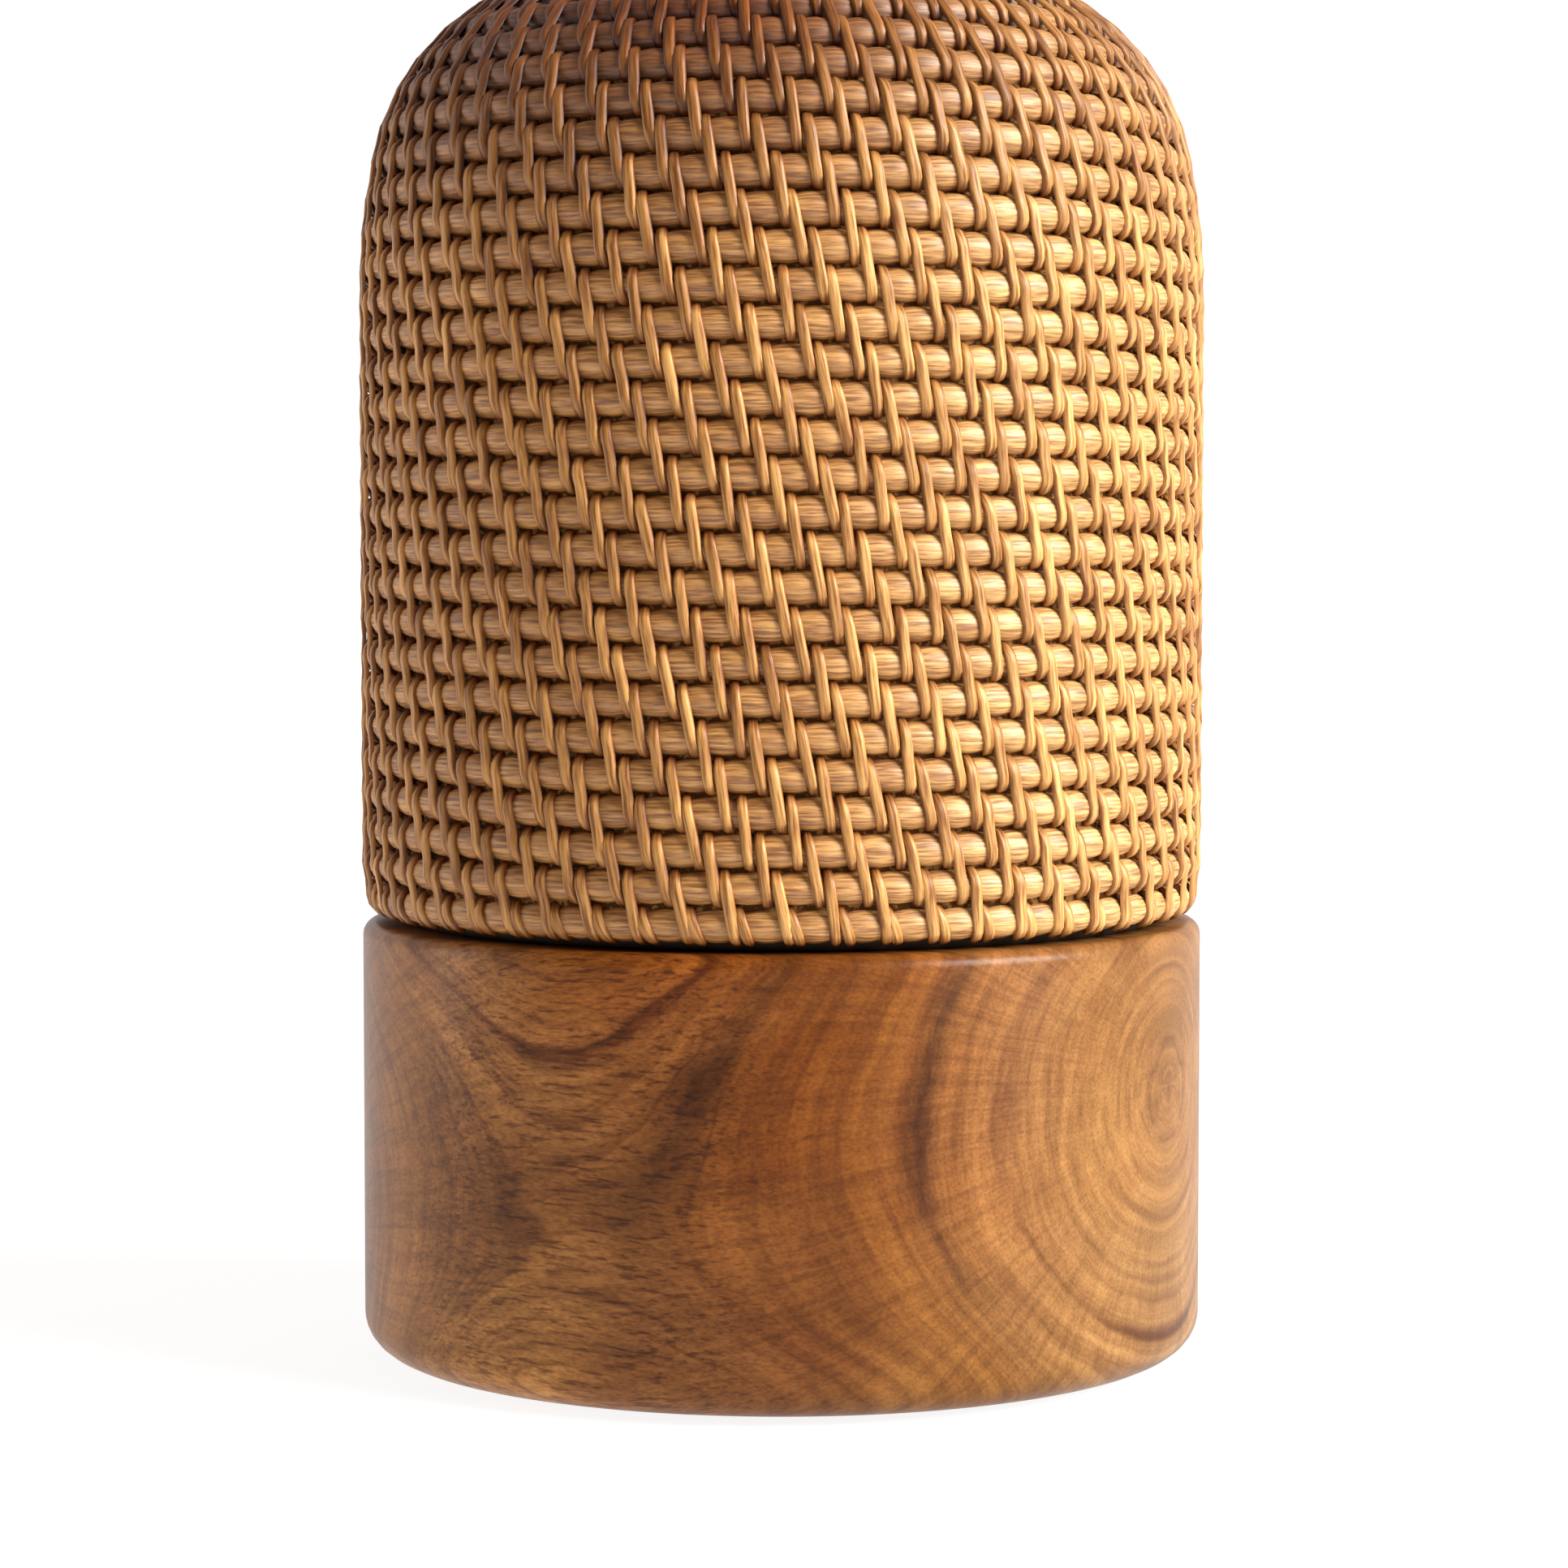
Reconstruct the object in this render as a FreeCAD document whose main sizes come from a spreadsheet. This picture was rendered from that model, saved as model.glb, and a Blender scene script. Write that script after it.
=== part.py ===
import FreeCAD, Part
import math
import os
import Sketcher
from FreeCAD import Vector

# A table torch: a turned wooden base, a woven body on a wire frame, and a fuel canister that
# lifts out of the top with its screw burner, wick and snuffer. Millimetres, +Z up; the origin
# is the middle of the face it stands on.

doc = FreeCAD.newDocument("TableTorch")

SIZES = {
    # turned wooden base and what is under and inside it
    "base_dia": 120,
    "base_height": 61.5,
    "base_top_round": 2,
    "base_foot_round": 5.5,
    "pad_dia": 100,
    "pad_thick": 2.5,
    "pad_stand": 1,
    "pad_clearance": 0.2,
    "screw_count": 3,
    "screw_circle_dia": 76,
    "screw_shank_dia": 4,
    "screw_head_dia": 8,
    "screw_head_height": 2.6,
    "screw_clearance": 0.2,
    "screw_tip_length": 4,
    "counterbore_depth": 32,
    "counterbore_clearance": 0.5,
    "tip_cover": 1.5,
    # woven body: straight wall, a slow curve, then the round shoulder
    "weave_dia": 120.4,
    "weave_thick": 5,
    "weave_gap": 1.2,
    "weave_foot_round": 4,
    "border_height": 8,
    "wall_height": 87.3,
    "curve_radius": 96.5,
    "curve_angle": 12,
    "shoulder_radius": 32.4,
    "lip_clearance": 0.2,
    "section_gap": 0.05,
    # wire frame inside the woven body
    "floor_clearance": 0.5,
    "floor_thick": 6,
    "wire_dia": 2.5,
    "wire_clearance": 0.2,
    "weld_gap": 0.05,
    "rib_count": 8,
    "neck_bore_dia": 68.6,
    "neck_band_thick": 1,
    "neck_band_height": 12,
    "collar_dia": 81.4,
    "collar_thick": 1,
    "collar_lip": 3,
    "collar_round": 1.4,
    "collar_clearance": 0.3,
    # fuel canister
    "canister_clearance": 0.8,
    "canister_wall": 0.8,
    "canister_height": 125,
    "canister_seat_gap": 0.1,
    "flange_dia": 76,
    "flange_thick": 0.8,
    "bottom_recess": 2,
    "rest_dia": 60,
    "rest_gap": 0.3,
    "dome_dia": 64,
    "dome_rise": 8,
    "dome_radius": 22,
    "spout_dia": 34,
    "spout_height": 11,
    # screw burner and wick
    "thread_clearance": 0.1,
    "cap_wall": 1,
    "cap_plate": 1.2,
    "cap_skirt": 9,
    "gasket_thick": 0.7,
    "gasket_width": 3.2,
    "gasket_gap": 0.05,
    "tube_dia": 14,
    "tube_wall": 1,
    "tube_drop": 12,
    "tube_rise": 8,
    "tube_flange_dia": 20,
    "tube_flange_thick": 1,
    "tube_clearance": 0.05,
    "wick_clearance": 0.3,
    "wick_stand": 5,
    "wick_floor_gap": 7,
    # snuffer
    "snuffer_dia": 32,
    "snuffer_wall": 1,
    "snuffer_side": 11,
    "snuffer_seat_gap": 0.1,
    "knob_dia": 17,
    "knob_foot_dia": 8,
    "knob_neck": 3,
    "pin_dia": 3,
    "pin_head_dia": 6,
    "pin_head_height": 1.6,
    "pin_length": 8,
    "pin_clearance": 0.05,
}

sheet = doc.addObject("Spreadsheet::Sheet", "Sizes")
for row, (name, size) in enumerate(SIZES.items(), start=1):
    sheet.set(f"A{row}", name)
    sheet.set(f"B{row}", str(size))
    sheet.setAlias(f"B{row}", name)
doc.recompute()

# Levels and radii that follow from the sizes, each worked out once.
levels = doc.addObject("App::VarSet", "Levels")


def derive(name, formula):
    levels.addProperty("App::PropertyFloat", name)
    levels.setExpression(name, formula)


derive("base_top", "Sizes.pad_stand + Sizes.base_height")
derive("base_r", "Sizes.base_dia / 2")
derive("recess_top", "Sizes.pad_thick")
derive("recess_r", "Sizes.pad_dia / 2 + Sizes.pad_clearance")
derive("screw_seat", "Sizes.pad_stand + Sizes.counterbore_depth")
derive("floor_top", "base_top + Sizes.floor_thick")
derive("screw_end", "floor_top - Sizes.tip_cover")

derive("weave_r", "Sizes.weave_dia / 2")
derive("weave_inner_r", "weave_r - Sizes.weave_thick")
derive("weave_bottom", "base_top + Sizes.weave_gap")
derive("border_top", "weave_bottom + Sizes.border_height")
derive("curve_start", "weave_bottom + Sizes.wall_height")
derive("curve_cos", "cos(Sizes.curve_angle * 1 deg)")
derive("curve_sin", "sin(Sizes.curve_angle * 1 deg)")
derive("curve_centre_r", "weave_r - Sizes.curve_radius")
derive("shoulder_centre_r", "curve_centre_r + (Sizes.curve_radius - Sizes.shoulder_radius) * curve_cos")
derive("shoulder_centre_z", "curve_start + (Sizes.curve_radius - Sizes.shoulder_radius) * curve_sin")
derive("shoulder_inner", "Sizes.shoulder_radius - Sizes.weave_thick")
derive("neck_bore_r", "Sizes.neck_bore_dia / 2")
derive("neck_outer_r", "neck_bore_r + Sizes.neck_band_thick")
derive("end_cos", "(neck_outer_r + Sizes.lip_clearance - shoulder_centre_r) / shoulder_inner")
derive("end_sin", "sqrt(1 - end_cos * end_cos)")

derive("wire_r", "Sizes.wire_dia / 2")
derive("rib_depth", "Sizes.weave_thick + Sizes.wire_clearance + wire_r")
derive("rib_r", "weave_r - rib_depth")
derive("ring_z", "base_top + Sizes.weld_gap + wire_r")
derive("rib_bottom", "ring_z + wire_r + Sizes.weld_gap")
derive("rib_curve", "Sizes.curve_radius - rib_depth")
derive("rib_shoulder", "Sizes.shoulder_radius - rib_depth")
derive("hoop_r", "rib_r - Sizes.wire_dia - Sizes.weld_gap")
derive("floor_r", "rib_r - wire_r - Sizes.floor_clearance")

derive("collar_r", "Sizes.collar_dia / 2")
derive("collar_inner_r", "collar_r - Sizes.collar_thick")
derive("dome_at_collar", "shoulder_centre_z + sqrt(pow(Sizes.shoulder_radius; 2)"
       " - pow(collar_inner_r - shoulder_centre_r; 2))")
derive("collar_foot", "dome_at_collar + Sizes.collar_clearance")
derive("collar_top", "collar_foot + Sizes.collar_lip")
derive("collar_under", "collar_top - Sizes.collar_thick")
derive("neck_band_bottom", "collar_under - Sizes.neck_band_height")
derive("rib_end_r", "neck_outer_r + wire_r / 2 + Sizes.wire_clearance")
derive("rib_end_z", "shoulder_centre_z + sqrt(pow(rib_shoulder; 2) - pow(rib_end_r - shoulder_centre_r; 2))")

derive("flange_under", "collar_top + Sizes.canister_seat_gap")
derive("flange_top", "flange_under + Sizes.flange_thick")
derive("canister_r", "neck_bore_r - Sizes.canister_clearance")
derive("canister_inner_r", "canister_r - Sizes.canister_wall")
derive("canister_bottom", "flange_under - Sizes.canister_height")
derive("bottom_r", "canister_inner_r - Sizes.gasket_gap")
derive("bottom_under", "canister_bottom + Sizes.bottom_recess")
derive("fuel_floor", "bottom_under + Sizes.canister_wall")
derive("rest_top", "canister_bottom - Sizes.rest_gap")

derive("lid_top", "flange_top + Sizes.flange_thick")
derive("dome_r", "Sizes.dome_dia / 2")
derive("dome_inner_r", "dome_r - Sizes.canister_wall")
derive("spout_r", "Sizes.spout_dia / 2")
derive("spout_inner_r", "spout_r - Sizes.canister_wall")
derive("spout_foot", "lid_top + Sizes.dome_rise")
derive("spout_top", "spout_foot + Sizes.spout_height")

derive("gasket_bottom", "spout_top + Sizes.gasket_gap")
derive("gasket_top", "gasket_bottom + Sizes.gasket_thick")
derive("plate_under", "gasket_top + Sizes.gasket_gap")
derive("plate_top", "plate_under + Sizes.cap_plate")
derive("cap_bore_r", "spout_r + Sizes.thread_clearance")
derive("cap_r", "cap_bore_r + Sizes.cap_wall")
derive("cap_bottom", "plate_under - Sizes.cap_skirt")
derive("tube_r", "Sizes.tube_dia / 2")
derive("tube_bore_r", "tube_r - Sizes.tube_wall")
derive("tube_hole_r", "tube_r + Sizes.tube_clearance")
derive("tube_bottom", "plate_top - Sizes.tube_drop")
derive("tube_flange_top", "plate_top + Sizes.tube_flange_thick")
derive("tube_top", "plate_top + Sizes.tube_rise")
derive("wick_r", "tube_bore_r - Sizes.wick_clearance")
derive("wick_bottom", "fuel_floor + Sizes.wick_floor_gap")
derive("wick_top", "tube_top + Sizes.wick_stand")

derive("snuffer_r", "Sizes.snuffer_dia / 2")
derive("snuffer_inner_r", "snuffer_r - Sizes.snuffer_wall")
derive("snuffer_rim", "plate_top + Sizes.snuffer_seat_gap")
derive("snuffer_side_top", "snuffer_rim + Sizes.snuffer_side")
derive("snuffer_inner_top", "snuffer_side_top + snuffer_inner_r")
derive("snuffer_top", "snuffer_side_top + snuffer_r")
derive("knob_r", "Sizes.knob_dia / 2")
derive("knob_foot_r", "Sizes.knob_foot_dia / 2")
derive("knob_ball_foot", "snuffer_top + Sizes.knob_neck")
derive("knob_ball_centre", "knob_ball_foot + sqrt(knob_r * knob_r - knob_foot_r * knob_foot_r)")
derive("knob_top", "knob_ball_centre + knob_r")
derive("pin_r", "Sizes.pin_dia / 2")
derive("pin_hole_r", "pin_r + Sizes.pin_clearance")
derive("pin_head_top", "snuffer_side_top - Sizes.pin_clearance"
       " + sqrt(pow(snuffer_inner_r; 2) - pow(Sizes.pin_head_dia / 2; 2))")
derive("pin_top", "snuffer_top + Sizes.pin_length")
doc.recompute()


def number(formula):
    return float(levels.evalExpression(formula))


def L(name):
    return f"Levels.{name}"


def origin_part(body, role):
    return next(part for part in body.Origin.OriginFeatures if part.Role == role)


def new_body(label):
    body = doc.addObject("PartDesign::Body", label)
    body.Label = label
    return body


def new_sketch(body, name, role):
    sketch = body.newObject("Sketcher::SketchObject", name)
    sketch.AttachmentSupport = [(origin_part(body, role), "")]
    sketch.MapMode = "FlatFace"
    return sketch


def tie(sketch, kind, *where, formula):
    # One dimension of a sketch, bound to the sheet unless it is plainly nothing.
    index = sketch.addConstraint(Sketcher.Constraint(kind, *where, number(formula)))
    if formula != "0":
        sketch.setExpression(f"Constraints[{index}]", formula)


def outline(sketch, corners, closed=True):
    # corners: (across, up) starts a straight side, and (across, up, radius, side) starts an arc
    # whose centre lies to the "left" or "right" of the way round. Every corner is dimensioned.
    spots = [Vector(number(corner[0]), number(corner[1]), 0) for corner in corners]
    sides = len(corners) if closed else len(corners) - 1
    ends = []
    for i in range(sides):
        start, end = spots[i], spots[(i + 1) % len(spots)]
        if len(corners[i]) == 2:
            geometry = sketch.addGeometry(Part.LineSegment(start, end), False)
            ends.append((geometry, 1, 2))
            continue
        radius_formula, side = corners[i][2:]
        radius = number(radius_formula)
        along = end - start
        reach = math.sqrt(max(radius**2 - (along.Length / 2) ** 2, 0))
        left = Vector(-along.y, along.x, 0).normalize()
        centre = (start + end) / 2 + left * (reach if side == "left" else -reach)
        first, last = (start, end) if side == "left" else (end, start)
        angles = [math.atan2(spot.y - centre.y, spot.x - centre.x) for spot in (first, last)]
        if angles[1] < angles[0]:
            angles[1] += 2 * math.pi
        arc = Part.ArcOfCircle(Part.Circle(centre, Vector(0, 0, 1), radius), *angles)
        geometry = sketch.addGeometry(arc, False)
        ends.append((geometry, 1, 2) if side == "left" else (geometry, 2, 1))
        tie(sketch, "Radius", geometry, formula=radius_formula)
    for i in range(sides if closed else sides - 1):
        after = ends[(i + 1) % sides]
        sketch.addConstraint(Sketcher.Constraint("Coincident", ends[i][0], ends[i][2], after[0], after[1]))
    for i, corner in enumerate(corners):
        geometry, first, last = ends[min(i, sides - 1)]
        point = first if i < sides else last
        tie(sketch, "DistanceX", -1, 1, geometry, point, formula=corner[0])
        tie(sketch, "DistanceY", -1, 1, geometry, point, formula=corner[1])


def turned(label, corners):
    # A piece of revolution about the torch's axis.
    body = new_body(label)
    sketch = new_sketch(body, f"{label}_profile", "XZ_Plane")
    outline(sketch, corners)
    spin = body.newObject("PartDesign::Revolution", f"{label}_turn")
    spin.Profile = sketch
    spin.ReferenceAxis = (sketch, ["V_Axis"])
    spin.Angle = 360
    return body


def around(body, name, features, count):
    ring = body.newObject("PartDesign::PolarPattern", name)
    ring.Originals = features
    ring.Axis = (origin_part(body, "Z_Axis"), [""])
    ring.Angle = 360
    ring.setExpression("Occurrences", count)
    body.Tip = ring


def drilled(body, name, hole_dia, start, depth):
    # One hole upwards from the level "start", on the circle of the base screws.
    sketch = new_sketch(body, f"{name}_spot", "XY_Plane")
    sketch.setExpression(".AttachmentOffset.Base.z", start)
    circle = Part.Circle(Vector(number("Sizes.screw_circle_dia / 2"), 0, 0), Vector(0, 0, 1), 1)
    sketch.addGeometry(circle, False)
    tie(sketch, "DistanceX", -1, 1, 0, 3, formula="Sizes.screw_circle_dia / 2")
    tie(sketch, "DistanceY", -1, 1, 0, 3, formula="0")
    tie(sketch, "Diameter", 0, formula=hole_dia)
    hole = body.newObject("PartDesign::Pocket", name)
    hole.Profile = sketch
    hole.Reversed = True
    hole.setExpression("Length", depth)
    return hole


def wooden_base():
    foot, top = "Sizes.pad_stand", L("base_top")
    body = turned("wood_base", [
        ("0", L("recess_top")),
        (L("recess_r"), L("recess_top")),
        (L("recess_r"), foot),
        (f"{L('base_r')} - Sizes.base_foot_round", foot, "Sizes.base_foot_round", "left"),
        (L("base_r"), f"{foot} + Sizes.base_foot_round"),
        (L("base_r"), f"{top} - Sizes.base_top_round", "Sizes.base_top_round", "left"),
        (f"{L('base_r')} - Sizes.base_top_round", top),
        ("0", top),
    ])
    bore = drilled(body, "screw_bore", "Sizes.screw_shank_dia + 2 * Sizes.screw_clearance",
                   "0 mm", f"{top} * 1 mm + 1 mm")
    counterbore = drilled(body, "counterbore", "Sizes.screw_head_dia + 2 * Sizes.counterbore_clearance",
                          "0 mm", f"{L('screw_seat')} * 1 mm")
    around(body, "screw_holes", [bore, counterbore], "Sizes.screw_count")


def frame_floor():
    body = turned("frame_floor", [
        ("0", L("base_top")),
        (L("floor_r"), L("base_top")),
        (L("floor_r"), L("floor_top")),
        ("0", L("floor_top")),
    ])
    pilot = drilled(body, "pilot_hole", "Sizes.screw_shank_dia + 0.1",
                    f"{L('base_top')} * 1 mm", f"({L('screw_end')} - {L('base_top')} + 0.3) * 1 mm")
    around(body, "pilot_holes", [pilot], "Sizes.screw_count")


def base_screws():
    body = new_body("base_screws")
    sketch = new_sketch(body, "screw_profile", "XZ_Plane")
    sketch.setExpression(".AttachmentOffset.Base.x", "Sizes.screw_circle_dia / 2 * 1 mm")
    shank, head = "Sizes.screw_shank_dia / 2", "Sizes.screw_head_dia / 2"
    outline(sketch, [
        ("0", f"{L('screw_seat')} - Sizes.screw_head_height"),
        (head, f"{L('screw_seat')} - Sizes.screw_head_height"),
        (head, L("screw_seat")),
        (shank, L("screw_seat")),
        (shank, f"{L('screw_end')} - Sizes.screw_tip_length"),
        ("0", L("screw_end")),
    ])
    spin = body.newObject("PartDesign::Revolution", "screw_turn")
    spin.Profile = sketch
    spin.ReferenceAxis = (sketch, ["V_Axis"])
    spin.Angle = 360
    around(body, "screw_ring", [spin], "Sizes.screw_count")


def disc(label, radius, bottom, top):
    body = doc.addObject("Part::Cylinder", label)
    body.Label = label
    body.setExpression("Radius", f"({radius}) * 1 mm")
    body.setExpression("Height", f"({top} - {bottom}) * 1 mm")
    body.setExpression(".Placement.Base.z", f"{bottom} * 1 mm")
    return body


def wire_ring(label, radius, level):
    ring = doc.addObject("Part::Torus", label)
    ring.Label = label
    ring.setExpression("Radius1", f"{radius} * 1 mm")
    ring.setExpression("Radius2", f"{L('wire_r')} * 1 mm")
    ring.setExpression(".Placement.Base.z", f"{level} * 1 mm")


def on_shoulder(depth, cosine, sine):
    # A point of the shoulder's arc, "depth" inside the outer face.
    reach = f"(Sizes.shoulder_radius - {depth})"
    return (f"{L('shoulder_centre_r')} + {reach} * {cosine}", f"{L('shoulder_centre_z')} + {reach} * {sine}")


def woven_body():
    outer, inner = L("weave_r"), L("weave_inner_r")
    turned("weave_border", [
        (inner, L("weave_bottom")),
        (f"{outer} - Sizes.weave_foot_round", L("weave_bottom"), "Sizes.weave_foot_round", "left"),
        (outer, f"{L('weave_bottom')} + Sizes.weave_foot_round"),
        (outer, L("border_top")),
        (inner, L("border_top")),
    ])
    wall_bottom = f"{L('border_top')} + Sizes.section_gap"
    wall_top = f"{L('curve_start')} - Sizes.section_gap"
    turned("weave_wall", [
        (inner, wall_bottom),
        (outer, wall_bottom),
        (outer, wall_top),
        (inner, wall_top),
    ])
    curve = (L("curve_cos"), L("curve_sin"))
    end = (L("end_cos"), L("end_sin"))
    turned("weave_shoulder", [
        (inner, L("curve_start")),
        (outer, L("curve_start"), "Sizes.curve_radius", "left"),
        (*on_shoulder("0", *curve), "Sizes.shoulder_radius", "left"),
        on_shoulder("0", *end),
        (*on_shoulder("Sizes.weave_thick", *end), L("shoulder_inner"), "right"),
        (*on_shoulder("Sizes.weave_thick", *curve), "Sizes.curve_radius - Sizes.weave_thick", "right"),
    ])


def frame_ribs():
    body = new_body("frame_ribs")
    path = new_sketch(body, "rib_path", "XZ_Plane")
    outline(path, [
        (L("rib_r"), L("rib_bottom")),
        (L("rib_r"), L("curve_start"), L("rib_curve"), "left"),
        (*on_shoulder(L("rib_depth"), L("curve_cos"), L("curve_sin")), L("rib_shoulder"), "left"),
        (L("rib_end_r"), L("rib_end_z")),
    ], closed=False)
    wire = new_sketch(body, "rib_section", "XY_Plane")
    wire.setExpression(".AttachmentOffset.Base.z", f"{L('rib_bottom')} * 1 mm")
    wire.addGeometry(Part.Circle(Vector(number(L("rib_r")), 0, 0), Vector(0, 0, 1), 1), False)
    tie(wire, "DistanceX", -1, 1, 0, 3, formula=L("rib_r"))
    tie(wire, "DistanceY", -1, 1, 0, 3, formula="0")
    tie(wire, "Diameter", 0, formula="Sizes.wire_dia")
    rib = body.newObject("PartDesign::AdditivePipe", "rib")
    rib.Profile = wire
    rib.Spine = (path, ["Edge1", "Edge2", "Edge3"])
    around(body, "rib_ring", [rib], "Sizes.rib_count")


def neck():
    turned("frame_neck_ring", [
        (L("neck_bore_r"), L("neck_band_bottom")),
        (L("neck_outer_r"), L("neck_band_bottom")),
        (L("neck_outer_r"), L("collar_under")),
        (L("neck_bore_r"), L("collar_under")),
    ])
    turned("neck_collar", [
        (L("neck_bore_r"), L("collar_under")),
        (L("collar_inner_r"), L("collar_under")),
        (L("collar_inner_r"), L("collar_foot")),
        (L("collar_r"), L("collar_foot")),
        (L("collar_r"), f"{L('collar_top')} - Sizes.collar_round", "Sizes.collar_round", "left"),
        (f"{L('collar_r')} - Sizes.collar_round", L("collar_top")),
        (L("neck_bore_r"), L("collar_top")),
    ])


def canister():
    turned("canister_shell", [
        (L("canister_inner_r"), L("canister_bottom")),
        (L("canister_r"), L("canister_bottom")),
        (L("canister_r"), L("flange_under")),
        ("Sizes.flange_dia / 2", L("flange_under")),
        ("Sizes.flange_dia / 2", L("flange_top")),
        (L("canister_inner_r"), L("flange_top")),
    ])
    rim_r = f"{L('bottom_r')} - Sizes.canister_wall"
    turned("canister_bottom", [
        ("0", L("bottom_under")),
        (rim_r, L("bottom_under")),
        (rim_r, L("canister_bottom")),
        (L("bottom_r"), L("canister_bottom")),
        (L("bottom_r"), L("fuel_floor")),
        ("0", L("fuel_floor")),
    ])
    inner_dome = "Sizes.dome_radius - Sizes.canister_wall"
    turned("canister_lid", [
        (L("dome_inner_r"), L("flange_top")),
        ("Sizes.flange_dia / 2", L("flange_top")),
        ("Sizes.flange_dia / 2", L("lid_top")),
        (L("dome_r"), L("lid_top"), "Sizes.dome_radius", "left"),
        (L("spout_r"), L("spout_foot")),
        (L("spout_r"), L("spout_top")),
        (L("spout_inner_r"), L("spout_top")),
        (L("spout_inner_r"), f"{L('spout_foot')} - Sizes.canister_wall", inner_dome, "right"),
    ])


def burner():
    turned("burner_cap", [
        (L("cap_bore_r"), L("cap_bottom")),
        (L("cap_r"), L("cap_bottom")),
        (L("cap_r"), f"{L('plate_top')} - Sizes.cap_wall", "Sizes.cap_wall", "left"),
        (f"{L('cap_r')} - Sizes.cap_wall", L("plate_top")),
        (L("tube_hole_r"), L("plate_top")),
        (L("tube_hole_r"), L("plate_under")),
        (L("cap_bore_r"), L("plate_under")),
    ])
    outer = disc("gasket_blank", L("spout_r"), L("gasket_bottom"), L("gasket_top"))
    bore = disc("gasket_bore", f"{L('spout_r')} - Sizes.gasket_width", L("gasket_bottom"), L("gasket_top"))
    gasket = doc.addObject("Part::Cut", "cap_gasket")
    gasket.Label = "cap_gasket"
    gasket.Base = outer
    gasket.Tool = bore
    turned("wick_tube", [
        (L("tube_bore_r"), L("tube_bottom")),
        (L("tube_r"), L("tube_bottom")),
        (L("tube_r"), L("plate_top")),
        ("Sizes.tube_flange_dia / 2", L("plate_top")),
        ("Sizes.tube_flange_dia / 2", L("tube_flange_top")),
        (L("tube_r"), L("tube_flange_top")),
        (L("tube_r"), L("tube_top")),
        (L("tube_bore_r"), L("tube_top")),
    ])
    disc("wick", L("wick_r"), L("wick_bottom"), L("wick_top"))


def snuffer():
    turned("snuffer_cup", [
        (L("snuffer_inner_r"), L("snuffer_rim")),
        (L("snuffer_r"), L("snuffer_rim")),
        (L("snuffer_r"), L("snuffer_side_top"), L("snuffer_r"), "left"),
        (L("pin_hole_r"), f"{L('snuffer_side_top')} + sqrt(pow({L('snuffer_r')}; 2) - pow({L('pin_hole_r')}; 2))"),
        (L("pin_hole_r"), f"{L('snuffer_side_top')} + sqrt(pow({L('snuffer_inner_r')}; 2)"
         f" - pow({L('pin_hole_r')}; 2))", L("snuffer_inner_r"), "right"),
        (L("snuffer_inner_r"), L("snuffer_side_top")),
    ])
    turned("snuffer_knob", [
        (L("pin_hole_r"), L("snuffer_top")),
        (L("knob_foot_r"), L("snuffer_top")),
        (L("knob_foot_r"), L("knob_ball_foot"), L("knob_r"), "left"),
        (L("knob_r"), L("knob_ball_centre"), L("knob_r"), "left"),
        ("0", L("knob_top")),
        ("0", f"{L('pin_top')} + Sizes.pin_clearance"),
        (L("pin_hole_r"), f"{L('pin_top')} + Sizes.pin_clearance"),
    ])
    turned("snuffer_pin", [
        ("0", f"{L('pin_head_top')} - Sizes.pin_head_height"),
        ("Sizes.pin_head_dia / 2", f"{L('pin_head_top')} - Sizes.pin_head_height"),
        ("Sizes.pin_head_dia / 2", L("pin_head_top")),
        (L("pin_r"), L("pin_head_top")),
        (L("pin_r"), L("pin_top")),
        ("0", L("pin_top")),
    ])


wooden_base()
disc("base_pad", "Sizes.pad_dia / 2", "0", L("recess_top"))
base_screws()
frame_floor()
wire_ring("frame_bottom_ring", L("rib_r"), L("ring_z"))
wire_ring("frame_hoop", L("hoop_r"), L("curve_start"))
frame_ribs()
woven_body()
neck()
disc("canister_rest", "Sizes.rest_dia / 2", L("floor_top"), L("rest_top"))
canister()
burner()
snuffer()
doc.recompute()

NODES = [
    "wood_base", "base_pad", "base_screws",
    "frame_floor", "frame_bottom_ring", "frame_hoop", "frame_ribs", "frame_neck_ring",
    "weave_border", "weave_wall", "weave_shoulder", "neck_collar", "canister_rest",
    "canister_shell", "canister_bottom", "canister_lid",
    "cap_gasket", "burner_cap", "wick_tube", "wick",
    "snuffer_cup", "snuffer_knob", "snuffer_pin",
]

for item in doc.Objects:
    if {"Invalid", "Error"} & set(item.State):
        raise RuntimeError(f"{item.Label} failed: {item.State}")
for node in NODES:
    shape = doc.getObject(node).Shape
    if shape.isNull() or not shape.isValid() or not shape.Solids:
        raise RuntimeError(f"{node} has no valid solid")

os.makedirs("parts", exist_ok=True)
for node in NODES:
    shape = doc.getObject(node).Shape
    box = shape.BoundBox
    shape.exportStep(f"parts/{node}.step")
    print(f"{node:18} {len(shape.Solids)} solid(s) {shape.Volume:10.1f} mm3"
          f"  r {box.XMax:6.2f}  z {box.ZMin:7.2f} to {box.ZMax:7.2f}")
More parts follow.
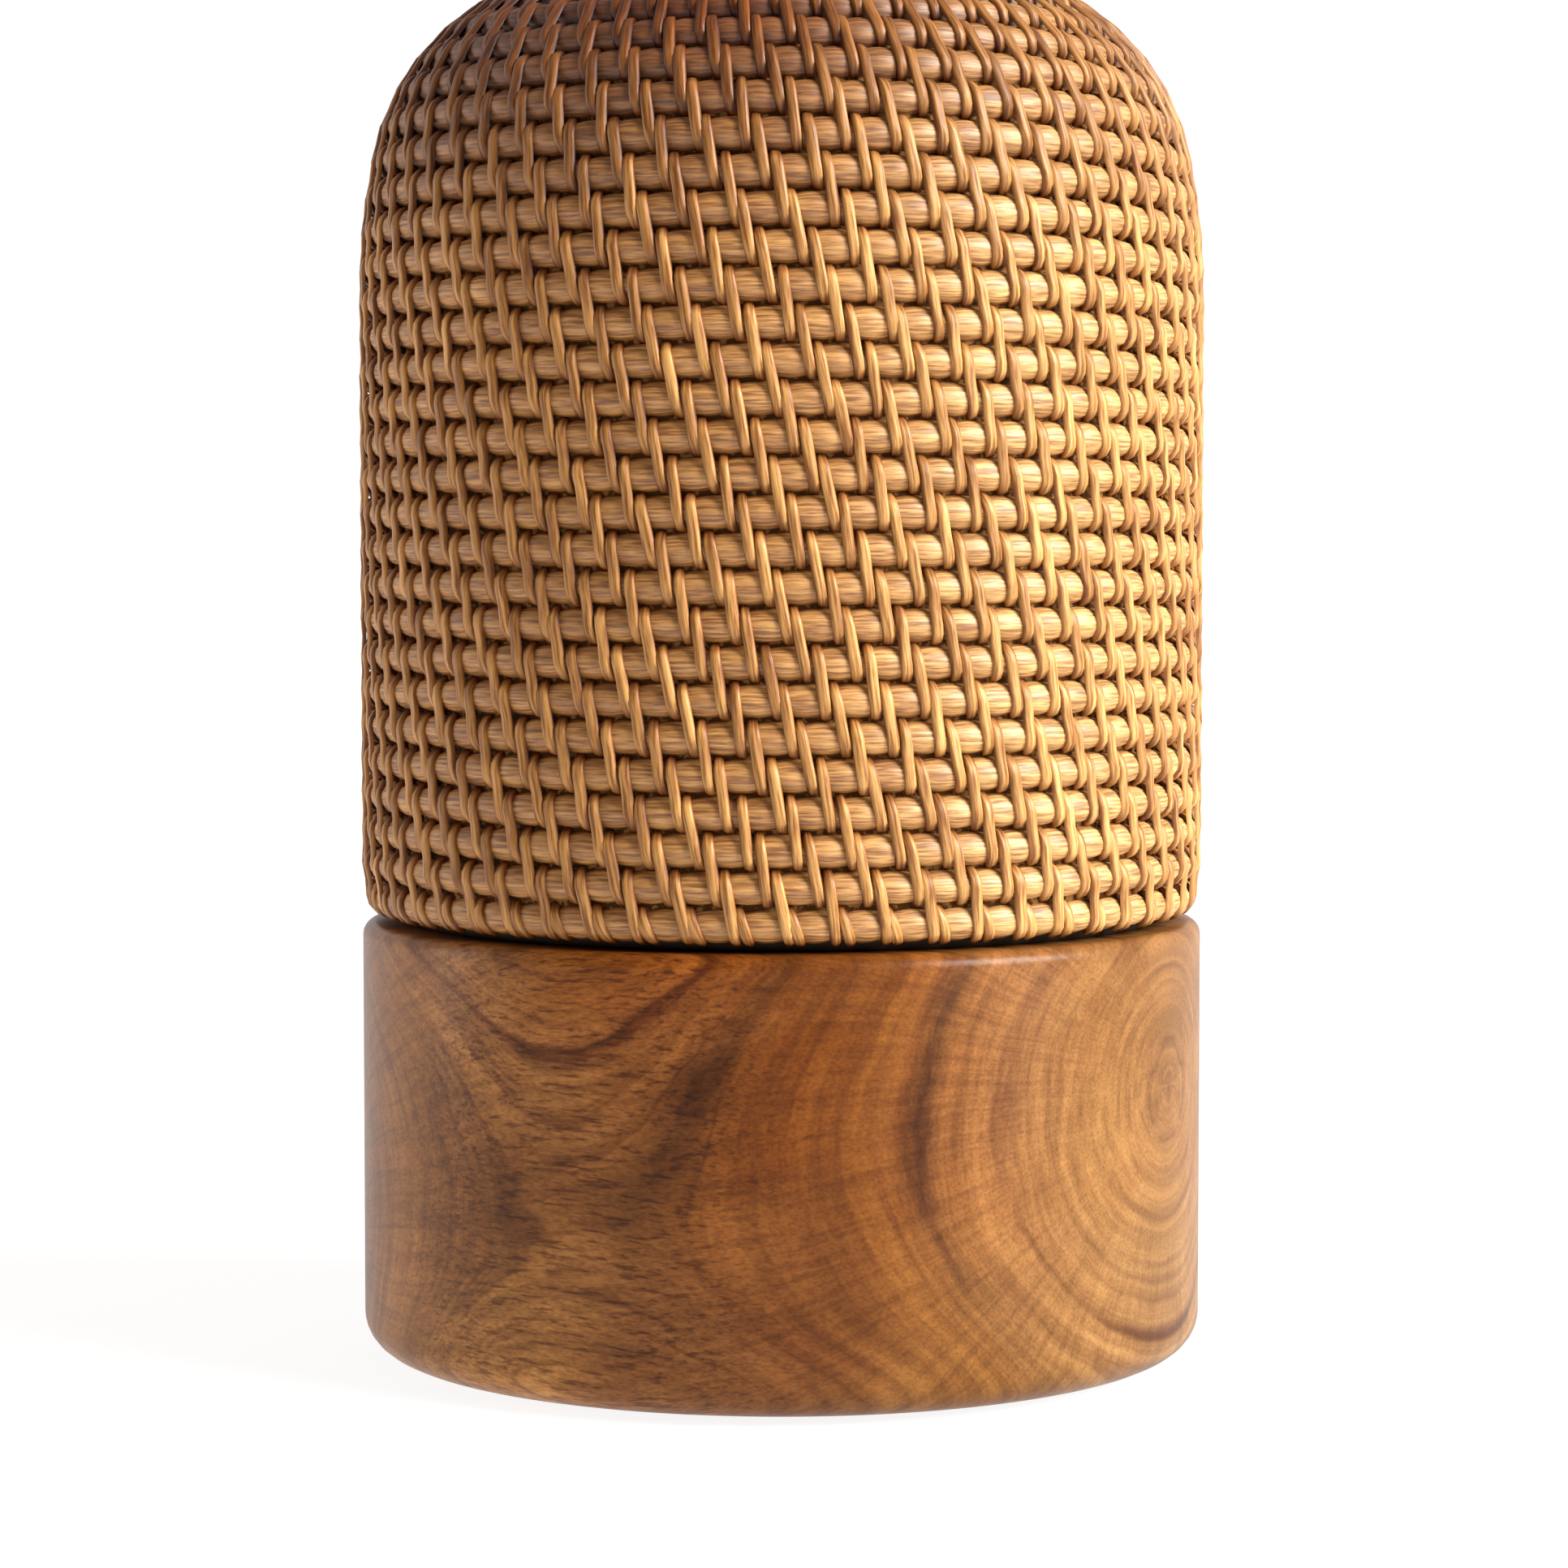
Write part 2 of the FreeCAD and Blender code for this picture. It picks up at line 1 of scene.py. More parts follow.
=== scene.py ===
import bmesh
import bpy
import math
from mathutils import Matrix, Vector


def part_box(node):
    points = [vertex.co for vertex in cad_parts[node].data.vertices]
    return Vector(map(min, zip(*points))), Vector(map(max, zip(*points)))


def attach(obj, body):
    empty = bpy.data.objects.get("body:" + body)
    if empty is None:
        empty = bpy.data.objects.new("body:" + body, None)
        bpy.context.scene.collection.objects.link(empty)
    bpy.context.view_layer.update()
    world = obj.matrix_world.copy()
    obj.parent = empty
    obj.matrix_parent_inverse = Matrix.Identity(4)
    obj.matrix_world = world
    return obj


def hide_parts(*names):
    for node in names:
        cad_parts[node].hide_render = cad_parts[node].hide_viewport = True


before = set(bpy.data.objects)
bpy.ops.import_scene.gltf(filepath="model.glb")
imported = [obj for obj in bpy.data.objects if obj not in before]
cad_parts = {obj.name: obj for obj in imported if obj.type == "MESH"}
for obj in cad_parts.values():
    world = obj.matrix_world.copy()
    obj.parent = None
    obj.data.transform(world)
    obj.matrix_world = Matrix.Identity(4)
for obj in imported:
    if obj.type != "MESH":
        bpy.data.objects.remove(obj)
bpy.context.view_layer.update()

# Table torch: a turned wooden base and a coiled rattan body, with a fuel canister, screw burner,
# wick and snuffer at the top. Metres, +Z up, front towards -Y.

mm = 0.001
fullTurn = 2 * math.pi
white = (1.0, 1.0, 1.0)


def addNode(tree, kind, inputs=None, **settings):
    node = tree.nodes.new(kind)
    for name, value in settings.items():
        setattr(node, name, value)
    for key, value in (inputs or {}).items():
        if isinstance(value, bpy.types.NodeSocket):
            tree.links.new(value, node.inputs[key])
        else:
            node.inputs[key].default_value = value
    return node


def maths(tree, operation, *values):
    return addNode(tree, "ShaderNodeMath", dict(enumerate(values)), operation=operation).outputs[0]


def vectorMaths(tree, operation, *values):
    return addNode(tree, "ShaderNodeVectorMath", dict(enumerate(values)), operation=operation).outputs[0]


def times(tree, first, second):
    return maths(tree, "MULTIPLY", first, second)


def scaled(tree, vector, factors):
    return vectorMaths(tree, "MULTIPLY", vector, factors)


def combine(tree, x, y, z):
    return addNode(tree, "ShaderNodeCombineXYZ", {0: x, 1: y, 2: z}).outputs[0]


def separate(tree, vector):
    return addNode(tree, "ShaderNodeSeparateXYZ", {0: vector}).outputs[:3]


def stretch(tree, parts, factors):
    # A vector of three parts, each times its factor.
    return scaled(tree, combine(tree, *parts), factors)


def radiusOf(tree, first, second):
    return maths(tree, "SQRT", maths(tree, "ADD", times(tree, first, first), times(tree, second, second)))


def ownPlace(tree):
    return addNode(tree, "ShaderNodeTexCoord").outputs["Object"]


def mapRange(tree, value, start, end, low=0.0, high=1.0):
    return addNode(tree, "ShaderNodeMapRange", {0: value, 1: start, 2: end, 3: low, 4: high}).outputs[0]


def noise(tree, vector, scale, detail=2.0, roughness=0.5, output=0):
    return addNode(tree, "ShaderNodeTexNoise", {"Vector": vector, "Scale": scale, "Detail": detail,
                                                "Roughness": roughness}).outputs[output]


def ramp(tree, factor, stops):
    node = addNode(tree, "ShaderNodeValToRGB", {0: factor})
    elements = node.color_ramp.elements
    for index, (place, colour) in enumerate(stops):
        element = elements[index] if index < 2 else elements.new(place)
        element.position = place
        element.color = (*colour, 1) if isinstance(colour, tuple) else (colour, colour, colour, 1)
    return node.outputs[0]


def mixColour(tree, factor, first, second, blend="MIX"):
    node = addNode(tree, "ShaderNodeMix", data_type="RGBA", blend_type=blend, clamp_factor=True)
    for index, value in ((0, factor), (6, first), (7, second)):
        if isinstance(value, bpy.types.NodeSocket):
            tree.links.new(value, node.inputs[index])
        else:
            node.inputs[index].default_value = (*value, 1) if isinstance(value, tuple) else value
    return node.outputs[2]


def tint(tree, factor, colour, by):
    return mixColour(tree, factor, colour, by, "MULTIPLY")


def bump(tree, height, distance, strength=1.0):
    return addNode(tree, "ShaderNodeBump", {"Height": height, "Distance": distance,
                                            "Strength": strength}).outputs[0]


def dress(tree, shader, roughness, colour=None, normal=None, **constants):
    # Colour, roughness and normal of a shader; a constant goes straight on its socket.
    if isinstance(roughness, bpy.types.NodeSocket):
        tree.links.new(roughness, shader.inputs["Roughness"])
    else:
        shader.inputs["Roughness"].default_value = roughness
    if colour:
        tree.links.new(colour, shader.inputs["Base Color"])
    if normal:
        tree.links.new(normal, shader.inputs["Normal"])
    labels = {"specular": "Specular IOR Level", "coat": "Coat Weight", "coatRoughness": "Coat Roughness",
              "metallic": "Metallic", "anisotropic": "Anisotropic", "glow": "Emission Strength"}
    for name, value in constants.items():
        shader.inputs[labels[name]].default_value = value


def newMaterial(name):
    material = bpy.data.materials.new(name)
    material.use_nodes = True
    tree = material.node_tree
    return material, tree, tree.nodes["Principled BSDF"]


def linkObject(name, data):
    thing = bpy.data.objects.new(name, data)
    bpy.context.scene.collection.objects.link(thing)
    return thing


def keepMesh(work, name):
    mesh = bpy.data.meshes.new(name)
    work.to_mesh(mesh)
    work.free()
    return mesh


def skin(work, rings, closed=True):
    # Faces from each ring of corners to the next, and one over each end.
    count = len(rings[0])
    for first, second in zip(rings, rings[1:]):
        for i in range(count if closed else count - 1):
            j = (i + 1) % count
            work.faces.new((first[i], first[j], second[j], second[i]))
    work.faces.new(rings[0][::-1])
    work.faces.new(rings[-1])


def addPiece(name, mesh, material, body, *replaced, slot):
    piece = linkObject(name, mesh)
    if material:
        mesh.materials.clear()
        mesh.materials.append(material)
    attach(piece, body)
    if replaced:
        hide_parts(*replaced)


def bakeTree(name, tree, values, helpers=()):
    # Runs a Geometry Nodes tree on an empty mesh and keeps the result as a plain mesh.
    carrier = linkObject(name, bpy.data.meshes.new(name))
    modifier = carrier.modifiers.new(name, "NODES")
    modifier.node_group = tree
    for item in tree.interface.items_tree:
        if item.item_type == "SOCKET" and item.in_out == "INPUT" and item.name in values:
            modifier[item.identifier] = values[item.name]
    depsgraph = bpy.context.evaluated_depsgraph_get()
    mesh = bpy.data.meshes.new_from_object(carrier.evaluated_get(depsgraph), depsgraph=depsgraph)
    mesh.name = name
    # The first slot is the empty carrier's own.
    mesh.materials.pop(index=0)
    bpy.data.objects.remove(carrier)
    for helper in helpers:
        bpy.data.objects.remove(helper)
    return mesh


socketKinds = {"object": "NodeSocketObject", "number": "NodeSocketFloat", "count": "NodeSocketInt",
               "material": "NodeSocketMaterial"}


def newTree(name, inputs):
    tree = bpy.data.node_groups.new(name, "GeometryNodeTree")
    for label, kind in inputs.items():
        tree.interface.new_socket(label, in_out="INPUT", socket_type=socketKinds[kind])
    tree.interface.new_socket("Geometry", in_out="OUTPUT", socket_type="NodeSocketGeometry")
    return tree, tree.nodes.new("NodeGroupInput").outputs, tree.nodes.new("NodeGroupOutput")


def attribute(tree, name, kind="FLOAT"):
    return addNode(tree, "GeometryNodeInputNamedAttribute", {"Name": name}, data_type=kind).outputs[0]


def store(tree, geometry, name, value, kind="FLOAT"):
    return addNode(tree, "GeometryNodeStoreNamedAttribute", {
        "Geometry": geometry, "Name": name, "Value": value}, data_type=kind, domain="POINT").outputs[0]


def setPlace(tree, geometry, place):
    return addNode(tree, "GeometryNodeSetPosition", {"Geometry": geometry, "Position": place}).outputs[0]


def makeSpots(tree, count):
    # Points to be placed later, and their index.
    spots = addNode(tree, "GeometryNodeMeshLine", {"Count": count, "Offset": (0, 0, 0)}).outputs[0]
    return spots, tree.nodes.new("GeometryNodeInputIndex").outputs[0]


def onCircle(tree, turn, radius, height):
    return combine(tree, times(tree, radius, maths(tree, "COSINE", turn)),
                   times(tree, radius, maths(tree, "SINE", turn)), height)


def chance(tree, index, seed, low, high, extra):
    node = addNode(tree, "FunctionNodeRandomValue", data_type="FLOAT")
    node.inputs[2].default_value, node.inputs[3].default_value = low, high
    tree.links.new(index, node.inputs["ID"])
    tree.links.new(maths(tree, "ADD", seed, float(extra)), node.inputs["Seed"])
    return node.outputs[1]


def realize(tree, geometry):
    return addNode(tree, "GeometryNodeRealizeInstances", {"Geometry": geometry}).outputs[0]


def scatter(tree, spots, shape, rotation, size=(1, 1, 1)):
    shape = addNode(tree, "GeometryNodeObjectInfo", {"Object": shape}).outputs["Geometry"]
    return realize(tree, addNode(tree, "GeometryNodeInstanceOnPoints", {
        "Points": spots, "Instance": shape, "Rotation": rotation, "Scale": size}).outputs[0])


def finishTree(tree, geometry, material, result, smooth=True):
    if smooth:
        geometry = addNode(tree, "GeometryNodeSetShadeSmooth", {"Geometry": geometry}).outputs[0]
    dressed = addNode(tree, "GeometryNodeSetMaterial", {"Geometry": geometry, "Material": material})
    tree.links.new(dressed.outputs[0], result.inputs[0])
    return tree


# "Sides" pairs are x, from left to right, where an effect starts and where it is whole.
rattan = {
    "dark": (0.25, 0.088, 0.018),
    "light": (0.76, 0.430, 0.155),
    "leastShade": 0.065,                       # 0 is all dark and 1 all light
    "toneShade": 0.32,                         # how far one cane is from another
    "blotchShade": 0.60,
    "blotchSize": (9, 30),                     # across and along, in fibre widths
    "grainLength": 16,                         # fibre widths
    "streakShare": 0.9,
    "streaks": [(0.36, (0.39, 0.235, 0.08)), (0.49, (0.83, 0.745, 0.59)), (0.63, (1.30, 1.33, 1.30))],
    "grooveShade": (0.42, 0.26, 0.14),              # painted shade: how much of the colour is left deep in the grooves
    "grooveDepths": (0.22, 0.85),
    "grooveSides": (8 * mm, 45 * mm),
    "grooveOnRight": 0.66,                     # the painted groove shade is weaker on the right side
    # Painted shade on the top of the shoulder, weaker on the right.
    "paintedTopShade": (0.31, 0.16, 0.045),
    "topShadeRise": (1 * mm, 35 * mm),            # above the foot of the shoulder
    "topShadeSides": (-5 * mm, 30 * mm),
    "topShadeOnRight": 0.62,
    "paintedLeftShade": (0.80, 0.69, 0.55),             # painted shade on the left side, against the right
    "leftShadeSides": (35 * mm, -30 * mm),
    "paintedLight": (1.10, 1.19, 1.28),            # painted light on the reeds' right side, where they catch most light
    "paintedLightSides": (4 * mm, 30 * mm),
    "bumpDepth": 0.09 * mm,
}

# "line" is the width of a fibre.
canes = {
    "reedCane": {"paleness": 0.08, "line": 0.36 * mm, "roughness": 0.62, "specular": 0.80,
                 "paintedLight": True},
    "stripCane": {"paleness": 0.10, "line": 0.44 * mm, "roughness": 0.531, "specular": 0.40,
                  "paintedLight": False},
}


def rattanMaterial(name, values, cane):
    # "lay" holds metres across the cane, metres along it and a number of its own; "tone" and
    # "depth" run from 0 to 1, and "depth" sets how much painted shade the cane gets.
    material, tree, shader = newMaterial(name)
    lay = separate(tree, addNode(tree, "ShaderNodeAttribute", attribute_name="lay").outputs["Vector"])
    tone, depth = (addNode(tree, "ShaderNodeAttribute", attribute_name=label).outputs["Fac"]
                   for label in ("tone", "depth"))
    line = cane["line"]
    fibres = noise(tree, stretch(tree, lay, (1 / line, 1 / (line * values["grainLength"]), 1.0)),
                   1.0, 3.0, 0.6)
    wide, long = values["blotchSize"]
    blotch = noise(tree, stretch(tree, lay, (1 / (line * wide), 1 / (line * long), 1.0)), 1.0)
    shade = maths(tree, "MULTIPLY_ADD", tone, values["toneShade"], values["leastShade"] + cane["paleness"])
    shade = maths(tree, "MULTIPLY_ADD", blotch, values["blotchShade"], shade)
    colour = mixColour(tree, shade, values["dark"], values["light"])
    colour = tint(tree, values["streakShare"], colour, ramp(tree, fibres, values["streaks"]))
    side, _, height = separate(tree, ownPlace(tree))
    # Painted shade in the grooves, from the "depth" attribute.
    shallow, deepShade = values["grooveDepths"]
    colour = tint(tree, mapRange(tree, side, *values["grooveSides"], 1.0, values["grooveOnRight"]), colour,
                  ramp(tree, depth, [(shallow, white), (deepShade, values["grooveShade"])]))
    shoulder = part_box("weave_shoulder")[0][2]
    # Painted shade over the top of the shoulder.
    topShading = times(tree, mapRange(tree, height, *(shoulder + rise for rise in values["topShadeRise"])),
                     mapRange(tree, side, *values["topShadeSides"], 1.0, values["topShadeOnRight"]))
    colour = tint(tree, topShading, colour, values["paintedTopShade"])
    # Painted shade on the left side.
    colour = tint(tree, mapRange(tree, side, *values["leftShadeSides"]), colour, values["paintedLeftShade"])
    # Painted light on the reeds' right side.
    if cane["paintedLight"]:
        colour = tint(tree, mapRange(tree, side, *values["paintedLightSides"]), colour, values["paintedLight"])
    rough = maths(tree, "MULTIPLY_ADD", fibres, -0.20, cane["roughness"])
    dress(tree, shader, rough, colour, bump(tree, fibres, values["bumpDepth"]), specular=cane["specular"])
    return material


shadeLining = {"deepShade": (0.060, 0.021, 0.004), "straw": (0.30, 0.145, 0.048), "bitsPerMetre": 900,
          "depth": -0.7 * mm, "foot": 2 * mm, "endAngle": 68.0, "thick": (0.3 * mm, 0.2 * mm), "steps": 96}


def shadeLiningMaterial(values):
    material, tree, shader = newMaterial("weaveLining")
    # Painted shade, nearly black, flecked with straw bits of the filling.
    bits = ramp(tree, noise(tree, ownPlace(tree), values["bitsPerMetre"]), [(0.52, 0.0), (0.62, 0.8)])
    dress(tree, shader, 0.8, mixColour(tree, bits, values["deepShade"], values["straw"]), specular=0.1)
    return material


weave = {
    "rowPitch": 4.82 * mm,
    "reedRadius": 2.32 * mm,
    "reedSides": 10,
    "reedSteps": 336,
    "pinch": 0.075,            # how much thinner the reed is under a stitch
    "stripWidth": 1.66 * mm,
    "stripThick": 0.58 * mm,
    "stripSides": 5,
    "stripCrown": 0.45,        # 1 is a round back, 0 a flat one
    "stitchesPerRow": 56,
    "rowShift": 0.37,          # stitches to the right for each row down
    "wander": 0.035,           # how far a stitch may stray, as a share of their spacing
    "spin": 0.05,              # radians it may turn by
    "widthSpread": (0.92, 1.07),
    "heightSpread": (0.97, 1.0),
    "dip": 0.15 * mm,
    "lean": 9.0,               # degrees
    "startTaper": ((76, 0.80), (50, 0.95), (24, 1.0)),     # degrees round the reed, share of the width
    "endTaper": ((24, 1.0), (50, 0.97), (76, 0.72)),
    "footLean": 1.9,           # times the other stitches' lean
    "footWidth": 1.08,
    "footPhase": 0.27,
    "footInset": 0.6 * mm,
    "footFlare": 1.6,          # insets by which the line starts further in, under the foot
    "footRise": 0.9,           # covers from the foot up to the middle of the first reed
    "lead": 6 * mm,            # what the line runs on below the first reed
    "overrun": 0.2,            # and past the last one, in radians
    "curveRadius": 96.5 * mm,
    "curveAngle": 12.0,
    "shoulderRadius": 32.4 * mm,
    "lastReedRadius": 38.2 * mm,
    "sectionGap": 0.05 * mm,
    "seed": 4,
}


def weaveOutline(values):
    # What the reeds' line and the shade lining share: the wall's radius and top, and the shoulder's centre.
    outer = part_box("weave_wall")[1][0]
    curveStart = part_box("weave_wall")[1][2] + values["sectionGap"]
    curveTurn = math.radians(values["curveAngle"])
    gap = values["curveRadius"] - values["shoulderRadius"]
    centre = outer - values["curveRadius"]
    shoulder = (centre + gap * math.cos(curveTurn), curveStart + gap * math.sin(curveTurn))
    return outer, curveStart, curveTurn, shoulder


def arc(centre, radius, start, end, steps):
    # Points (x, z) after the start of an arc.
    turns = [start + (end - start) * step / steps for step in range(1, steps + 1)]
    return [(centre[0] + radius * math.cos(turn), centre[1] + radius * math.sin(turn)) for turn in turns]


def weaveProfile(values):
    # The line through the reeds' middles, from under the foot to under the collar, how far along
    # it the first reed lies and the length that holds reeds.
    outer, curveStart, curveTurn, shoulder = weaveOutline(values)
    cover = values["stripThick"] + values["reedRadius"]
    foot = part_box("weave_border")[0][2] + cover * values["footRise"]
    wall = outer - cover
    bend = values["shoulderRadius"] - cover
    lastTurn = math.acos((values["lastReedRadius"] - shoulder[0]) / bend)
    inset, overrun = values["footInset"], values["overrun"]
    line = [(wall - values["footFlare"] * inset, foot - values["lead"]), (wall - inset, foot),
            (wall, foot + values["rowPitch"]), (wall, curveStart)]
    line += arc((outer - values["curveRadius"], curveStart), values["curveRadius"] - cover, 0, curveTurn, 12)
    line += arc(shoulder, bend, curveTurn, lastTurn + overrun, 60)
    length = sum(math.dist(a, b) for a, b in zip(line, line[1:]))
    start = math.dist(line[0], line[1])
    curve = bpy.data.curves.new("weaveProfile", "CURVE")
    curve.dimensions = "3D"
    spline = curve.splines.new("POLY")
    spline.points.add(len(line) - 1)
    for point, (x, z) in zip(spline.points, line):
        point.co = (x, 0, z, 1)
    return linkObject("weaveProfile", curve), start, length - start - overrun * bend


def wrapOnBody(tree, geometry, profile):
    # Points lie flat: x along the row, y up the profile, z outwards from the reeds' middles.
    # "turn" and "row" say where their own origin goes.
    line = addNode(tree, "GeometryNodeObjectInfo", {"Object": profile}).outputs["Geometry"]
    x, y, z = separate(tree, tree.nodes.new("GeometryNodeInputPosition").outputs[0])
    sample = addNode(tree, "GeometryNodeSampleCurve", {"Curves": line}, mode="LENGTH", use_all_curves=False)
    tree.links.new(maths(tree, "ADD", attribute(tree, "row"), y), sample.inputs["Length"])
    spotX, _, spotZ = separate(tree, sample.outputs["Position"])
    alongX, _, alongZ = separate(tree, sample.outputs["Tangent"])
    radius = maths(tree, "MULTIPLY_ADD", z, alongZ, spotX)
    height = maths(tree, "SUBTRACT", spotZ, times(tree, z, alongX))
    angle = maths(tree, "ADD", attribute(tree, "turn"), maths(tree, "DIVIDE", x, radius))
    return setPlace(tree, geometry, onCircle(tree, angle, radius, height))


def reedTree():
    tree, given, result = newTree("coiledReeds", {
        "Profile": "object", "Start": "number", "Row Pitch": "number", "Rows": "count",
        "Reed Radius": "number", "Steps": "count", "Sides": "count", "Per Row": "count",
        "Row Shift": "number", "Pinch": "number", "Reed Material": "material"})
    rows, index = makeSpots(tree, given["Rows"])
    rows = store(tree, rows, "row", maths(tree, "MULTIPLY_ADD", index, given["Row Pitch"], given["Start"]))
    rows = store(tree, rows, "rowNumber", index)
    sheet = addNode(tree, "GeometryNodeMeshGrid", {
        "Size X": fullTurn, "Size Y": fullTurn, "Vertices X": given["Steps"], "Vertices Y": given["Sides"]})
    across, around, _ = separate(tree, tree.nodes.new("GeometryNodeInputPosition").outputs[0])
    sheet = store(tree, sheet.outputs["Mesh"], "turn", across)
    # Corners stand closer together on the outer side.
    crowding = 0.45
    section = maths(tree, "SUBTRACT", around, times(tree, maths(tree, "SINE", around), crowding))
    sheet = store(tree, sheet, "section", section)
    sheet = setPlace(tree, sheet, combine(tree, 0.0, 0.0, 0.0))
    many = realize(tree, addNode(tree, "GeometryNodeInstanceOnPoints", {
        "Points": rows, "Instance": sheet}).outputs[0])
    section, rowNumber, turn = (attribute(tree, name) for name in ("section", "rowNumber", "turn"))
    beat = maths(tree, "MULTIPLY_ADD", maths(tree, "SUBTRACT", rowNumber, 0.5), given["Row Shift"],
                 times(tree, turn, maths(tree, "DIVIDE", given["Per Row"], fullTurn)))
    swell = times(tree, maths(tree, "COSINE", times(tree, beat, fullTurn)), given["Pinch"])
    radius = times(tree, given["Reed Radius"], maths(tree, "SUBTRACT", 1.0, swell))
    many = setPlace(tree, many, combine(tree, 0.0, times(tree, maths(tree, "SINE", section), radius),
                                        times(tree, maths(tree, "COSINE", section), radius)))
    wallRadius, rowStep = 0.058, 7.3
    lay = combine(tree, times(tree, section, given["Reed Radius"]),
                  times(tree, turn, wallRadius), times(tree, rowNumber, rowStep))
    many = store(tree, many, "lay", lay, "FLOAT_VECTOR")
    # Painted shade, strongest towards the next reed and beside and under each stitch.
    clearest, stitchShade = -0.3, 0.42
    squeeze = maths(tree, "MAXIMUM", maths(tree, "DIVIDE", swell, given["Pinch"]), clearest)
    beside = times(tree, squeeze, stitchShade)
    shadeDepth = maths(tree, "ADD", maths(tree, "SUBTRACT", 1.0, maths(tree, "COSINE", section)), beside)
    many = store(tree, many, "depth", shadeDepth)
    many = store(tree, many, "tone", noise(tree, scaled(tree, lay, (0.0, 25.0, 1.0)), 1.0))
    many = wrapOnBody(tree, many, given["Profile"])
    many = addNode(tree, "GeometryNodeMergeByDistance", {"Geometry": many, "Distance": 0.01 * mm}).outputs[0]
    return finishTree(tree, many, given["Reed Material"], result)


def stitchTree(values):
    tree, given, result = newTree("bindingStitches", {
        "Profile": "object", "Stitch": "object", "First Row": "number", "Row Pitch": "number",
        "Rows": "count", "Per Row": "count", "Row Shift": "number", "Phase": "number",
        "Wander": "number", "Seed": "count", "Strip Material": "material"})
    spots, index = makeSpots(tree, times(tree, given["Rows"], given["Per Row"]))
    rowNumber = maths(tree, "FLOOR", maths(tree, "DIVIDE", maths(tree, "ADD", index, 0.5), given["Per Row"]))
    place = maths(tree, "SUBTRACT", index, times(tree, rowNumber, given["Row Shift"]))

    def draw(low, high, extra):
        return chance(tree, index, given["Seed"], low, high, extra)

    wander = times(tree, draw(-1, 1, 1), given["Wander"])
    turn = times(tree, maths(tree, "ADD", maths(tree, "ADD", place, given["Phase"]), wander),
                 maths(tree, "DIVIDE", fullTurn, given["Per Row"]))
    spots = store(tree, spots, "turn", turn)
    spots = store(tree, spots, "row", maths(tree, "MULTIPLY_ADD", rowNumber, given["Row Pitch"],
                                            given["First Row"]))
    spots = store(tree, spots, "tone", draw(0, 1, 2))
    spots = store(tree, spots, "own", draw(0, 400, 3))
    spin = combine(tree, 0.0, 0.0, draw(-values["spin"], values["spin"], 4))
    size = combine(tree, draw(*values["widthSpread"], 5), 1.0, draw(*values["heightSpread"], 6))
    many = scatter(tree, spots, given["Stitch"], spin, size)
    lay = vectorMaths(tree, "ADD", attribute(tree, "lay", "FLOAT_VECTOR"),
                      combine(tree, 0.0, 0.0, attribute(tree, "own")))
    many = store(tree, many, "lay", lay, "FLOAT_VECTOR")
    return finishTree(tree, wrapOnBody(tree, many, given["Profile"]), given["Strip Material"], result)


def stitchShape(name, values, path, width, leanTangent):
    # One half-round strip along a path of (y, z, width share), leaning as it goes down.
    sides, thick = values["stripSides"], values["stripThick"]
    work = bmesh.new()
    lay = work.verts.layers.float_vector.new("lay")
    depth = work.verts.layers.float.new("depth")
    outermost = max(z for _, z, _ in path)
    rings = []
    travelled = 0
    for i, (y, z, share) in enumerate(path):
        before = path[max(i - 1, 0)]
        after = path[min(i + 1, len(path) - 1)]
        along = Vector((after[0] - before[0], after[1] - before[1])).normalized()
        out = Vector((along.y, -along.x)) if along.x < 0 else Vector((-along.y, along.x))
        travelled += math.dist((y, z), before[:2])
        ring = []
        for side in range(sides + 1):
            turn = math.pi * side / sides
            across = math.cos(turn) * width / 2 * share
            rise = (math.sin(turn) ** values["stripCrown"] - 1) * thick
            vert = work.verts.new((across - y * leanTangent, y + out.x * rise, z + out.y * rise))
            vert[lay] = (across, travelled, 0)
            # Painted shade: more towards the strip's ends in the grooves and down its sides.
            vert[depth] = min(1, (outermost - z) / (2.8 * thick) - rise / thick * 0.75)
            ring.append(vert)
        rings.append(ring)
    skin(work, rings)
    bmesh.ops.recalc_face_normals(work, faces=work.faces)
    for ring, other in zip(rings, rings[1:]):
        for corner in (0, sides):
            work.edges.get((ring[corner], other[corner])).smooth = False
    return linkObject(name, keepMesh(work, name))


def stitchPath(values, reeds, dip):
    # From the groove above the upper reed, over one or two reeds, into the groove below.
    pitch = values["rowPitch"]
    reach = values["reedRadius"] + values["stripThick"]
    top = pitch / 2 * (reeds - 1)

    def taper(ends, base, direction):
        turns = [(math.radians(degrees), share) for degrees, share in ends]
        return [(base + direction * reach * math.sin(turn), reach * math.cos(turn), share)
                for turn, share in turns]

    middle = [top] if reeds == 1 else [top, top * 0.52, 0, -top * 0.52, -top]
    over = [(y, reach - dip * (1 + math.cos(fullTurn * y / pitch)) / 2, 1.0) for y in middle]
    return taper(values["startTaper"], top, 1) + over + taper(values["endTaper"], -top, -1)


